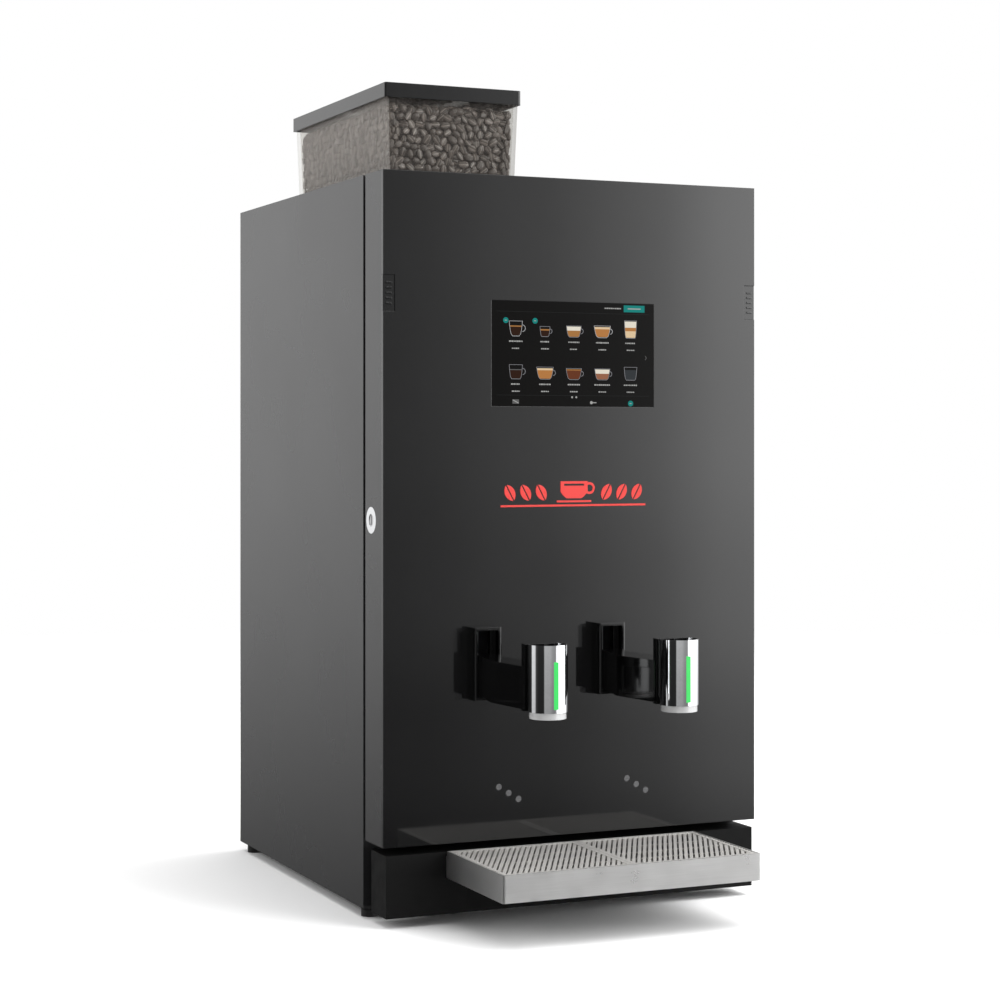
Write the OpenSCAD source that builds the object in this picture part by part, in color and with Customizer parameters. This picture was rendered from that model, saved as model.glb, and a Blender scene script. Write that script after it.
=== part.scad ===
// Table-top bean-to-cup coffee vending machine.
// x is centred and runs to the right, y runs from front to back, z = 0 is the surface it stands on.
// Inside the modules y = 0 is the front of the door, and place() puts the whole machine on the origin.

/* [Cabinet] */
// Width of the cabinet and of the door
cabinet_w = 410; // [400:1:500]
// Depth of the cabinet behind the door
cabinet_d = 403; // [385:1:500]
// Height of the cabinet without its feet
cabinet_h = 720; // [700:1:880]
// Thickness of the sheet steel panels
sheet = 2; // [1.2:0.1:2.5]
// Height of the levelling feet
foot_h = 10; // [8:0.5:14]
// Radius of a foot's pad
foot_r = 8.5; // [7:0.1:11]
// Distance of the feet from the cabinet's sides
foot_inset = 12; // [11.5:0.5:30]
// Depth of the service space in front of the bulkhead
service_d = 194; // [190:1:230]
// Height of the plinth's top above the cabinet's bottom
plinth_h = 60.3; // [56:0.1:66]
// Depth of the plinth
plinth_d = 40; // [36:0.5:44]

/* [Door] */
// Thickness of the door with its glass
door_t = 48.5; // [44:0.1:60]
// Gap between the door and the cabinet
door_seam = 6; // [5:0.1:8]
// Gap between the door and the plinth
door_gap = 7.9; // [6:0.1:12]
// Thickness of the glass
glass_t = 5; // [4:0.1:8]
// Width of the touch screen
screen_w = 179; // [150:1:225]
// Height of the touch screen
screen_h = 104; // [90:1:130]
// Height of the screen's lower edge above the cabinet's bottom
screen_z = 493.2; // [440:0.1:520]
// Distance of the screen's middle to the left of the door's middle
screen_shift = 1.9; // [0:0.1:10]
// Width of the grip inserts at the door's edges
clip_w = 12; // [9:0.5:16]
// Height of the grip inserts
clip_h = 35; // [25:0.5:50]
// Height of the grip inserts' lower edge above the cabinet's bottom
clip_z = 584; // [560:1:620]
// Radius of the lock's face
lock_r = 13; // [11:0.1:15]
// Height of the lock's middle above the cabinet's bottom
lock_z = 382; // [340:1:420]
// Radius of the hinge pins
hinge_r = 4; // [3:0.1:5]

/* [Outlets] */
// Distance between the middles of the two cup places
cup_pitch = 141; // [130:0.5:160]
// Distance of the cup places' middle to the left of the door's middle
cup_shift = 2.5; // [0:0.1:6]
// Distance between the middles of the two guides on the door
guide_pitch = 135; // [125:0.5:150]
// Distance of the left guide's middle to the left of the left cup place's middle
guide_lead = 29; // [26:0.5:34]
// Width of a guide
guide_w = 30; // [28:0.5:36]
// Height of a guide
guide_h = 70.5; // [66:0.5:90]
// Distance that a guide stands out of the door
guide_out = 16; // [14:0.5:20]
// Height of a guide's lower edge above the cabinet's bottom
guide_z = 207.5; // [190:0.5:230]
// Height of an arm
arm_h = 39; // [34:0.5:41]
// Width of an arm
arm_w = 20.8; // [18:0.1:22]
// Drop of an arm's lower edge towards its head
arm_drop = 13; // [8:0.5:15]
// Drop of an arm's upper edge towards its head
arm_fall = 7; // [4:0.5:10]
// Distance of a head's middle in front of the door
head_out = 90; // [84:0.5:96]
// Radius of a head's chrome cover
head_r = 19; // [17.5:0.1:22]
// Height of the chrome cover
cover_h = 63.6; // [58:0.1:70]
// Height of the ring under the cover
ring_h = 6.4; // [5:0.1:8]
// Travel of an outlet
outlet_travel = 23; // [10:0.5:23]

/* [Drip tray] */
// Width of the drip tray
tray_w = 273; // [240:1:300]
// Distance that the tray stands out of the plinth
tray_out = 134; // [120:1:165]
// Height of the tray
tray_h = 26; // [24:0.5:30]
// Height of the tray's lower edge above the cabinet's bottom
tray_z = 35; // [33:0.5:36]
// Distance that the tray reaches into the plinth
tray_in = 34; // [20:1:34]
// Thickness of the grids
grid_t = 5; // [4:0.5:6]
// Distance between the bars of a grid
grid_pitch = 5; // [4.5:0.5:10]
// Width of a bar of a grid
bar_w = 3.2; // [2.4:0.1:3.6]

/* [Bean hopper] */
// Width of the hopper's lid
lid_w = 147.4; // [125:0.1:155]
// Depth of the hopper's lid
lid_d = 282; // [240:1:340]
// Height of the lid's edge
lid_h = 14.4; // [12:0.1:18]
// Height of the lid's lower edge above the cabinet
lid_rise = 79; // [60:0.5:110]
// Distance of the hopper from the cabinet's left side
hopper_left = 23.6; // [20:0.1:30]
// Distance of the lid's front edge behind the cabinet's front edge
hopper_back = 1.5; // [1:0.1:6]
// Distance that the hopper's sides lean in from top to bottom
hopper_lean = 3; // [2:0.1:6]
// Radius of the hopper's throat
throat_r = 19; // [15:0.1:21]

/* [Water inlet] */
// Outer radius of the inlet's thread
inlet_r = 13.2; // [12:0.1:15]
// Length of the inlet's thread behind the cabinet
inlet_l = 14; // [10:0.5:18]

/* [Hidden] */
$fn = 48;

// Clearances
gap = 0.3;          // between two bodies
running = 0.06;     // radial, between a shaft and its bore
through = 1;        // how far a cut runs past a face

// Cabinet
half_w = cabinet_w / 2;
inner_x = half_w - sheet;
bottom_z = foot_h;
top_z = foot_h + cabinet_h;
cab_y = door_t + door_seam;
back_y = cab_y + cabinet_d;
panel_y = back_y - sheet;
bulk_y = cab_y + service_d;
bulk_t = 1.5;
flange = 24;
flange_x = half_w - flange;
plinth_top = bottom_z + plinth_h;
door_z = plinth_top + door_gap;
lip_z = door_z + flange;
foot_x = half_w - foot_inset;
foot_y = [cab_y + 14, back_y - 18];
stud_r = 4;
stud_l = 12;
nut_h = 3;
nut_r = 7.5;
plinth_inset = 3;
screw_rows = 4;
panel_screw_r = 2;

// The machine's front face lies here once the whole machine is centred
rear_y = back_y + inlet_l;
front_y = -(rear_y - tray_out) / 2;

// Door and hinges
hinge_x = half_w - 7;
hinge_y = door_t - 5;
bracket_t = 3;
bracket_r = 6;
low_bracket_z = plinth_top + 2.2;
high_bracket_z = top_z - 10;
hinge_block = [18, 14, 12];
gasket_w = 5;
gasket_x = half_w - 16;
liner_t = 3;
screen_x = -screen_shift;
screen_bottom = bottom_z + screen_z;
housing_t = 22;
housing_rim = 10;
clip_bottom = bottom_z + clip_z;
badge_t = 0.4;
badge_z = bottom_z + 394;
sensor_r = 3;
sensor_step = [10.6, -6.5];
sensor_z = bottom_z + 119.7;

// Lock
lock_y = 33;
lock_h = bottom_z + lock_z;
barrel_r = 10;
barrel_l = 23;
plug_r = 6;
cam_x = -half_w + barrel_l + 4;
cam_t = 2.5;
cam_r = 40;
cam_w = 10;
hook_t = 6;
hook_l = 6;
keeper_y = [cab_y + 4, cab_y + 11];

// Outlets
cup_x = [-cup_shift - cup_pitch / 2, -cup_shift + cup_pitch / 2];
guide_x = [cup_x[0] - guide_lead, cup_x[0] - guide_lead + guide_pitch];
guide_bottom = bottom_z + guide_z;
guide_wall = 3;
guide_r = 2.5;
guide_sill = 4.8;
arm_z = guide_bottom + guide_sill + gap;
slot_gap = 0.4;
neck_w = 16;
slot_x = neck_w / 2 + 1;
slot_z = [arm_z - 1, arm_z + arm_h + outlet_travel + 1];
funnel_w = 28;
funnel_y = [door_t - 1, cab_y + 12];
funnel_wall = 2;
elbow_y = -46;
head_z = arm_z - arm_drop - 2.6;
cover_z = head_z + ring_h;
cover_t = 1.4;
core_r = head_r - cover_t;
back_block = [20, 9, 16];
light_w = 4.6;
light_z = [cover_z + 3.6, cover_z + 48.2];
light_out = 0.3;

// Drip tray
tray_x = -cup_shift;
tray_z0 = bottom_z + tray_z;
tray_z1 = tray_z0 + tray_h;
tray_wall = 1.5;
tray_r = 2.5;
tongue_z = plinth_top - 4.5;
pull_gap = 0.5;
ledge = 4;
ledge_t = 2;
grid_z = [tray_z1 - gap - grid_t, tray_z1 - gap];
grid_rim = 5;
grid_y = [-tray_out + tray_wall + pull_gap, -tray_wall - 2 * pull_gap];
grid_gap = 0.4;
bar_angle = 62;

// Hopper
lid_x = [-half_w + hopper_left, -half_w + hopper_left + lid_w];
lid_y = [cab_y + hopper_back, cab_y + hopper_back + lid_d];
lid_z = [top_z + lid_rise, top_z + lid_rise + lid_h];
lid_wall = 2;
lid_top = 4;
hopper_wall = 3;
hopper_inset = lid_wall + 0.5;
hopper_z = [top_z + gap, lid_z[1] - lid_top - gap];
hopper_base = 7.5;
beans_top = lid_z[0] - 3;
throat_x = (lid_x[0] + lid_x[1]) / 2;
throat_y = cab_y + 95;
spigot_r = throat_r + 3;
spigot_l = 22;
gate_z = [hopper_z[0] + 2, hopper_z[0] + 5];
gate_w = 46;
gate_front = 68;
gate_tail = 12;

// Grinder
grinder_z = top_z - 100;
grinder_r = 48;
grinder_h = 52;
burr_r = 32;
shaft_r = 5;
shelf_t = 4;
motor_r = 38;
motor_h = 110;
chute_w = 24;
chute_y = [throat_y - 80, throat_y - 62];
chute_wall = 2;

// Brewer
brew_top = grinder_z - shelf_t - motor_h - 8;
brew_z = brew_top - 78;
brew_y = throat_y - 22;
chamber_r = 28;
chamber_wall = 4;
chamber_h = 80;
piston_h = 12;
piston_rise = 22;
screw_y = brew_y + 50;
screw_r = 6;
plate_t = 8;
brew_w = 90;
brew_motor_h = 34;

// Grounds bin
bin_w = 150;
bin_h = 200;
bin_y = [cab_y + 14, bulk_y - 14];
bin_wall = 2.5;

// Powder canisters and mixers
can_w = 86;
can_pitch = 94;
can_x = [inner_x - 57 - can_pitch, inner_x - 57];
can_y = [cab_y + 34, bulk_y - 14];
can_z = [top_z - 205, top_z - 40];
can_wall = 2.5;
can_lid_t = 12;
can_lid_lap = 2;
auger_z = can_z[0] + 18;
auger_r = 11;
auger_shaft = 4;
auger_turns = 5;
spout_w = 30;
spout_y = [cab_y + 12, can_y[0]];
spout_z = [can_z[0] - 20, can_z[0] + 34];
mixer_y = cab_y + 72;
bowl_w = 68;
bowl_y = [cab_y + 6, mixer_y];
bowl_z = [can_z[0] - 90, can_z[0] - 56];
mix_z = bowl_z[0] - 12;
mix_r = 20;
mix_y = cab_y + 14;
whip_r = 14;
whip_shaft = 3;
mix_motor_l = 50;
mix_motor_r = 17;
gearbox = 40;

// Drink nozzles
nozzle_y = cab_y + 8;
nozzle_z = arm_z + arm_h + outlet_travel + 4;
nozzle_l = 8;
nozzle_bar_h = 6;
nozzle_dx = 6;

// Hoses
hose_sides = 8;

// Rear compartment
boiler_at = [95, bulk_y + 100];
boiler_r = 65;
boiler_z = [bottom_z + 120, bottom_z + 320];
pump_at = [-70, bulk_y + 90];
fan_at = [-120, bottom_z + 550];
fan_w = 92;
fan_t = 25;
fan_hole = 42;
fan_blades = 7;
inlet_at = [150, bottom_z + 50];
inlet_stub = 22;
collar_r = inlet_r + 3;
valve_l = 40;
power_at = [-150, bottom_z + 50];
switch_at = [-112, bottom_z + 50];
switch_size = [14, 26];
box_x = [0, 180];
box_z = [top_z - 260, top_z - 40];
box_d = 50;

// ---------- shapes used by several pieces ----------

// Puts a piece from the door's frame into the machine's frame
module place() translate([0, front_y, 0]) children();

// A block between two limits on each axis
module box(x, y, z) {
    translate([x[0], y[0], z[0]])
        cube([x[1] - x[0], y[1] - y[0], z[1] - z[0]]);
}

module rod_x(at, r, l) translate(at) rotate([0, 90, 0]) cylinder(r = r, h = l);
module rod_y(at, r, l) translate(at) rotate([-90, 0, 0]) cylinder(r = r, h = l);
module rod_z(at, r, l) translate(at) cylinder(r = r, h = l);

// A block whose two front edges are rounded
module front_rounded(x, y, z, r) {
    box([x[0] + r, x[1] - r], y, z);
    box(x, [y[0] + r, y[1]], z);
    for (cx = [x[0] + r, x[1] - r]) rod_z([cx, y[0] + r, z[0]], r, z[1] - z[0]);
}

// A box that leans in on all four sides towards its bottom
module leaning(x, y, z, lean) {
    intersection() {
        translate([0, y[1], 0])
            rotate([90, 0, 0])
                linear_extrude(height = y[1] - y[0])
                    polygon([[x[0] + lean, z[0]], [x[1] - lean, z[0]], [x[1], z[1]], [x[0], z[1]]]);
        translate([x[0], 0, 0])
            rotate([90, 0, 90])
                linear_extrude(height = x[1] - x[0])
                    polygon([[y[0] + lean, z[0]], [y[1] - lean, z[0]], [y[1], z[1]], [y[0], z[1]]]);
    }
}

// Cuts every inner corner of a path short
function eased(p) = [
    p[0],
    for (i = [0 : len(p) - 2])
        each [if (i > 0) 0.75 * p[i] + 0.25 * p[i + 1],
              if (i < len(p) - 2) 0.25 * p[i] + 0.75 * p[i + 1]],
    p[len(p) - 1]];

function unit(v) = v / norm(v);

// The ring of points round one point of a path, square to the way the path runs there
function ring(at, along, r) =
    let (side = unit(cross(along, [0.31, 0.52, 0.8])), up = cross(along, side))
    [for (k = [0 : hose_sides - 1])
        at + r * (cos(k * 360 / hose_sides) * side + sin(k * 360 / hose_sides) * up)];

// A hose that runs through the given corners
module hose(corners, r) {
    path = eased(corners);
    last = len(path) - 1;
    points = [for (i = [0 : last])
        each ring(path[i], unit(path[min(i + 1, last)] - path[max(i - 1, 0)]), r)];
    walls = [for (i = [0 : last - 1])
        for (k = [0 : hose_sides - 1])
            let (a = i * hose_sides + k, b = i * hose_sides + (k + 1) % hose_sides)
            each [[a, a + hose_sides, b], [b, a + hose_sides, b + hose_sides]]];
    caps = [[for (k = [0 : hose_sides - 1]) k],
            [for (k = [hose_sides - 1 : -1 : 0]) last * hose_sides + k]];
    polyhedron(points, concat(walls, caps));
}

// Cuts through the glass, the door's front wall and its liner, for one outlet's neck
module outlet_slot(i, y) box([guide_x[i] - slot_x, guide_x[i] + slot_x], y, slot_z);

module screen_window(y, rim = 0) {
    box([screen_x - screen_w / 2 - rim, screen_x + screen_w / 2 + rim], y,
        [screen_bottom - rim, screen_bottom + screen_h + rim]);
}

// The three sensor eyes below an outlet
module sensor_eyes(y, l) {
    for (x = cup_x)
        for (i = [-1, 0, 1])
            rod_y([x + i * sensor_step[0], y, sensor_z + (i + 1) * sensor_step[1]], sensor_r, l);
}

// ---------- cabinet ----------

module side_panel() {
    box([-half_w, -inner_x], [cab_y, back_y], [bottom_z, top_z]);
    box([-half_w, -flange_x], [cab_y, cab_y + sheet], [bottom_z, top_z]);
}

module left_side_panel() color("#55565a") place() side_panel();
module right_side_panel() color("#55565a") place() mirror([1, 0, 0]) side_panel();

module base_pan() {
    color("#3a3b3d") place() difference() {
        union() {
            box([-inner_x, inner_x], [cab_y + sheet, panel_y], [bottom_z, bottom_z + sheet]);
            box([-flange_x, flange_x], [cab_y, cab_y + sheet], [bottom_z, lip_z]);
            box([-inner_x, inner_x], [cab_y + sheet, bulk_y], [door_z - sheet, door_z]);
        }
        for (x = [-foot_x, foot_x])
            for (y = foot_y)
                rod_z([x, y, bottom_z - through], stud_r + gap, sheet + 2 * through);
    }
}

module levelling_feet() {
    color("#161616") place()
        for (x = [-foot_x, foot_x])
            for (y = foot_y) {
                rod_z([x, y, 0], foot_r, foot_h - nut_h);
                translate([x, y, foot_h - nut_h]) cylinder(r = nut_r, h = nut_h, $fn = 6);
                rod_z([x, y, foot_h - nut_h], stud_r, nut_h + stud_l);
            }
}

// Rows of narrow slots, kept inside a rectangle of the rear panel
module louvres(x, z, pitch, slot) {
    for (row = [0 : floor((z[1] - z[0]) / pitch)])
        box(x, [panel_y - through, back_y + through], [z[0] + row * pitch, z[0] + row * pitch + slot]);
}

module rear_panel() {
    color("#4a4b4e") place() difference() {
        box([-inner_x, inner_x], [panel_y, back_y], [bottom_z, top_z - sheet]);
        for (side = [-1, 1])
            louvres([side * 100 - 35, side * 100 + 35], [bottom_z + 130, bottom_z + 190], 10, 4);
        intersection() {
            rod_y([fan_at[0], panel_y - through, fan_at[1]], fan_hole - 2, sheet + 2 * through);
            louvres([fan_at[0] - fan_hole, fan_at[0] + fan_hole],
                    [fan_at[1] - fan_hole, fan_at[1] + fan_hole], 8, 5);
        }
        rod_y([inlet_at[0], panel_y - through, inlet_at[1]], collar_r + gap, sheet + 2 * through);
        box([power_at[0] - 14, power_at[0] + 14], [panel_y - through, back_y + through],
            [power_at[1] - 12, power_at[1] + 12]);
        box([switch_at[0] - 10, switch_at[0] + 10], [panel_y - through, back_y + through],
            [switch_at[1] - 16, switch_at[1] + 16]);
        at_screws() rod_y([0, -sheet - through, 0], panel_screw_r, sheet + 2 * through);
    }
}

module top_panel() {
    color("#3f4043") place() difference() {
        union() {
            box([-inner_x, inner_x], [cab_y + sheet, back_y], [top_z - sheet, top_z]);
            box([-flange_x, flange_x], [cab_y, cab_y + sheet], [top_z - flange, top_z]);
        }
        rod_z([throat_x, throat_y, top_z - sheet - through], spigot_r + 4 * gap, sheet + 2 * through);
    }
}

// Dividing wall, with the shelf of the grinder and the bracket of the mixers
module bulkhead() {
    cheek_x = [can_x[0] - 40, can_x[1] + 40];
    cheek_z = [mix_z - 30, bowl_z[1] - 4];
    color("#9a9c9f") place() difference() {
        union() {
            box([-inner_x, inner_x], [bulk_y, bulk_y + bulk_t], [bottom_z + sheet, top_z - sheet]);
            box([throat_x - 60, throat_x + 60], [throat_y - grinder_r, bulk_y],
                [grinder_z - shelf_t, grinder_z]);
            box(cheek_x, [mixer_y, mixer_y + sheet], cheek_z);
            for (x = [cheek_x[0], cheek_x[1] - sheet]) box([x, x + sheet], [mixer_y, bulk_y], cheek_z);
        }
        rod_z([throat_x, throat_y, grinder_z - shelf_t - through], 14, shelf_t + 2 * through);
        for (x = can_x) {
            rod_y([x, bulk_y - through, auger_z], 8, bulk_t + 2 * through);
            rod_y([x, mixer_y - through, mix_z], 8, sheet + 2 * through);
            rod_y([x, bulk_y - through, can_z[0] - 80], 8, bulk_t + 2 * through);
        }
        rod_y([throat_x + 60, bulk_y - through, brew_z - 20], 8, bulk_t + 2 * through);
    }
}

module plinth() {
    pocket_x = [tray_x - tray_w / 2 - pull_gap, tray_x + tray_w / 2 + pull_gap];
    color("#1b1b1c") place() {
        difference() {
            box([-half_w + plinth_inset, half_w - plinth_inset], [0, plinth_d], [bottom_z, plinth_top]);
            box([-half_w + plinth_inset + sheet, half_w - plinth_inset - sheet],
                [sheet, plinth_d + through], [bottom_z + sheet, plinth_top - sheet]);
            box(pocket_x, [-through, sheet + through], [tray_z0 - gap, tongue_z + 2 * gap]);
        }
        box([pocket_x[0] + 2, pocket_x[1] - 2], [sheet, plinth_d],
            [tray_z0 - gap - sheet, tray_z0 - gap]);
        for (side = [-1, 1])
            box([side * 150 - 12, side * 150 + 12], [plinth_d - 2, cab_y],
                [bottom_z, bottom_z + sheet + 6]);
        for (x = [pocket_x[0] + 2, pocket_x[1] - 2 - sheet])
            box([x, x + sheet], [sheet, plinth_d], [bottom_z + sheet, tray_z0 - gap - sheet]);
    }
}

// Hinge brackets with their pins, and the lug that the lock's hook holds
module door_brackets() {
    color("#8e9094") place() {
        for (z = [low_bracket_z, high_bracket_z]) {
            rod_z([hinge_x, hinge_y, z], bracket_r, bracket_t);
            box([hinge_x - bracket_r, hinge_x + 2.6], [hinge_y, cab_y], [z, z + bracket_t]);
        }
        rod_z([hinge_x, hinge_y, low_bracket_z], bracket_r, door_z - gap - low_bracket_z);
        rod_z([hinge_x, hinge_y, low_bracket_z], hinge_r, door_z + sheet + 10 - low_bracket_z);
        rod_z([hinge_x, hinge_y, high_bracket_z - 13], hinge_r, 14);
        box([-inner_x, cam_x + cam_t + 3], keeper_y, [lock_h - 12, lock_h - cam_w / 2 - gap]);
    }
}

// One shape at the place of every screw of the rear panel
module at_screws() {
    for (x = [-inner_x + 8, inner_x - 8])
        for (i = [0 : screw_rows - 1])
            translate([x, back_y, bottom_z + 20 + i * (cabinet_h - 40) / (screw_rows - 1)]) children();
}

module panel_screws() {
    color("#c9cacc") place() at_screws() {
        rod_y([0, 0, 0], 3.5, 1.6);
        rod_y([0, -sheet - 6, 0], panel_screw_r, sheet + 6);
    }
}

// ---------- coffee grinder and brewer ----------

module grinder_body() {
    neck_z = [grinder_z + 8, grinder_z + 32];
    color("#b9bbbd") place() difference() {
        union() {
            rod_z([throat_x, throat_y, grinder_z], grinder_r, grinder_h);
            rod_z([throat_x, throat_y, grinder_z + grinder_h - 1], spigot_r + 5,
                  top_z - sheet - grinder_z - grinder_h + 1);
            box([throat_x - chute_w / 2, throat_x + chute_w / 2], [chute_y[0], throat_y - 30], neck_z);
            box([throat_x - chute_w / 2, throat_x + chute_w / 2], chute_y, [brew_z + 8, neck_z[1]]);
            chute_nose(0);
        }
        rod_z([throat_x, throat_y, grinder_z + 7], burr_r + 2, 34);
        rod_z([throat_x, throat_y, grinder_z - through], 12, 20);
        rod_z([throat_x, throat_y, grinder_z + 30], spigot_r + 2 * gap, top_z);
        box([throat_x - chute_w / 2 + chute_wall, throat_x + chute_w / 2 - chute_wall],
            [chute_y[0] + chute_wall, throat_y - 30], [neck_z[0] + chute_wall, neck_z[1] - chute_wall]);
        box([throat_x - chute_w / 2 + chute_wall, throat_x + chute_w / 2 - chute_wall],
            [chute_y[0] + chute_wall, chute_y[1] - chute_wall], [brew_z + 20, neck_z[1] - chute_wall]);
        chute_nose(chute_wall);
    }
}

// The chute's slanted foot, which tips the grounds over the rim of the brewing chamber
module chute_nose(wall) {
    tip_y = brew_y - chamber_r - 0.5;
    translate([throat_x - chute_w / 2 + wall, 0, 0])
        rotate([90, 0, 90])
            linear_extrude(height = chute_w - 2 * wall)
                polygon([[chute_y[0] + wall, brew_z + 22 + wall], [chute_y[0] + wall, brew_z + 16 + wall],
                         [tip_y + wall * through, brew_z + 2 + wall], [tip_y + wall * through, brew_z + 14],
                         [chute_y[1] - wall, brew_z + 22], [chute_y[1] - wall, brew_z + 24 + wall],
                         [chute_y[0] + wall, brew_z + 24 + wall]]);
}

module grinder_burr() {
    color("#d9dadc") place() {
        rod_z([throat_x, throat_y, grinder_z - shelf_t - 28], shaft_r, shelf_t + 60);
        rod_z([throat_x, throat_y, grinder_z + 10], burr_r, 14);
        translate([throat_x, throat_y, grinder_z + 24]) cylinder(r1 = burr_r - 4, r2 = 12, h = 12);
    }
}

// Grinder, brewer, auger and mixer motors
module drive_motors() {
    color("#5d6166") place() {
        difference() {
            union() {
                rod_z([throat_x, throat_y, grinder_z - shelf_t - motor_h], motor_r, motor_h);
                rod_z([throat_x, throat_y, grinder_z - shelf_t - 12], motor_r + 5, 12);
            }
            rod_z([throat_x, throat_y, grinder_z - shelf_t - 30], shaft_r + running, 31);
        }
        difference() {
            rod_z([throat_x, screw_y, brew_z - chamber_h - plate_t - brew_motor_h], 18, brew_motor_h);
            rod_z([throat_x, screw_y, brew_z - chamber_h - plate_t - 14], screw_r + running, 15);
        }
        for (x = can_x) {
            difference() {
                union() {
                    box([x - gearbox / 2, x + gearbox / 2], [bulk_y + bulk_t, bulk_y + bulk_t + 24],
                        [auger_z - gearbox / 2, auger_z + gearbox / 2]);
                    rod_y([x, bulk_y + bulk_t + 23, auger_z], 15, 32);
                }
                rod_y([x, bulk_y, auger_z], auger_shaft + running, 16);
            }
            difference() {
                rod_y([x, mixer_y + sheet, mix_z], mix_motor_r, mix_motor_l);
                rod_y([x, mixer_y + sheet - through, mix_z], whip_shaft + running, 14);
            }
        }
    }
}

module brew_frame() {
    half = brew_w / 2;
    low_z = brew_z - chamber_h - plate_t;
    color("#2d2f31") place() difference() {
        union() {
            box([throat_x - half, throat_x + half], [bulk_y - plate_t, bulk_y], [low_z, brew_top]);
            box([throat_x - half, throat_x + half], [brew_y - 36, bulk_y], [low_z, low_z + plate_t]);
            box([throat_x - 22, throat_x + 22], [screw_y - 14, bulk_y], [brew_top - plate_t, brew_top]);
            rod_z([throat_x, brew_y, low_z], chamber_r + chamber_wall, chamber_h + plate_t);
            for (x = [-15, 15]) rod_y([throat_x + x, brew_y - 44, brew_z - 65], 5, 18);
            for (x = [-half, half - 5])
                box([throat_x + x, throat_x + x + 5], [brew_y + 34, bulk_y], [low_z, brew_z]);
        }
        rod_z([throat_x, brew_y, brew_z - chamber_h + 6], chamber_r, chamber_h);
        rod_z([throat_x, screw_y, low_z - through], screw_r + running, plate_t + 2 * through);
        rod_z([throat_x, screw_y, brew_top - plate_t - through], screw_r + running, plate_t + 2 * through);
        for (x = [-15, 15]) rod_y([throat_x + x, brew_y - 45, brew_z - 65], 3, 30);
    }
}

// Upper piston with the bridge and nut that carry it on the screw
module brew_piston() {
    bridge_z = brew_z + piston_rise + piston_h + 6;
    color("#c8b48c") place() difference() {
        union() {
            rod_z([throat_x, brew_y, brew_z + piston_rise], chamber_r - gap, piston_h);
            rod_z([throat_x, brew_y, brew_z + piston_rise], 8, piston_h + 18);
            box([throat_x - 10, throat_x + 10], [brew_y, screw_y], [bridge_z, bridge_z + 12]);
            rod_z([throat_x, screw_y, bridge_z - 4], 12, 16);
        }
        rod_z([throat_x, screw_y, bridge_z - 5], screw_r + running, 18);
    }
}

module brew_screw() {
    color("#cfd1d3") place() {
        rod_z([throat_x, screw_y, brew_z - chamber_h - plate_t - 13], screw_r,
              brew_top - brew_z + chamber_h + plate_t + 12);
        rod_z([throat_x, screw_y, brew_z - chamber_h + gap], 9, 4);
    }
}

module grounds_bin() {
    x = [throat_x - bin_w / 2, throat_x + bin_w / 2];
    z = [door_z, door_z + bin_h];
    mid_y = (bin_y[0] + bin_y[1]) / 2;
    grip = 6;
    color("#6b6e72") place() {
        difference() {
            union() {
                box(x, bin_y, z);
                box([x[0] - grip, x[1] + grip], [mid_y - 30, mid_y + 30], [z[1] - 8, z[1] - 5]);
            }
            box([x[0] + bin_wall, x[1] - bin_wall], [bin_y[0] + bin_wall, bin_y[1] - bin_wall],
                [z[0] + bin_wall, z[1] + through]);
        }
    }
}

// ---------- powder canisters and mixers ----------

module canister(i) {
    x = [can_x[i] - can_w / 2, can_x[i] + can_w / 2];
    place() difference() {
        union() {
            box(x, can_y, can_z);
            box([can_x[i] - spout_w / 2, can_x[i] + spout_w / 2], spout_y, spout_z);
            rod_y([can_x[i], can_y[1] - 1, auger_z], 9, bulk_y - can_y[1] + 1);
        }
        box([x[0] + can_wall, x[1] - can_wall], [can_y[0] + can_wall, can_y[1] - can_wall],
            [can_z[0] + can_wall, can_z[1] + through]);
        box([can_x[i] - spout_w / 2 + can_wall, can_x[i] + spout_w / 2 - can_wall],
            [spout_y[0] + can_wall, spout_y[1] + can_wall + through],
            [spout_z[0] - through, spout_z[1] - can_wall]);
        rod_y([can_x[i], can_y[1] - can_wall - through, auger_z], auger_shaft + running,
              bulk_y - can_y[1] + can_wall + 2 * through);
    }
}

module canister_left() color("#d8d4c8") canister(0);
module canister_right() color("#d8d4c8") canister(1);

module canister_lid(i) {
    rim = can_lid_lap + gap;
    x = [can_x[i] - can_w / 2, can_x[i] + can_w / 2];
    z = [can_z[1] - can_lid_t + 4, can_z[1] + 4];
    place() difference() {
        box([x[0] - rim, x[1] + rim], [can_y[0] - rim, can_y[1] + rim], z);
        box([x[0] - gap, x[1] + gap], [can_y[0] - gap, can_y[1] + gap],
            [z[0] - through, can_z[1] + gap]);
    }
}

module canister_lid_left() color("#3d4043") canister_lid(0);
module canister_lid_right() color("#3d4043") canister_lid(1);

module auger(i) {
    long = can_y[1] - can_y[0] - 2 * can_wall - 4;
    place() translate([can_x[i], can_y[0] + can_wall + 2, auger_z]) {
        rod_y([0, -18, 0], auger_shaft, bulk_y + bulk_t + 12 - can_y[0] + 10);
        rotate([-90, 0, 0])
            linear_extrude(height = long, twist = -360 * auger_turns, slices = 12 * auger_turns)
                translate([auger_r - 5, 0])
                    circle(r = 5, $fn = 10);
    }
}

module auger_left() color("#e6e6e2") auger(0);
module auger_right() color("#e6e6e2") auger(1);

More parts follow.
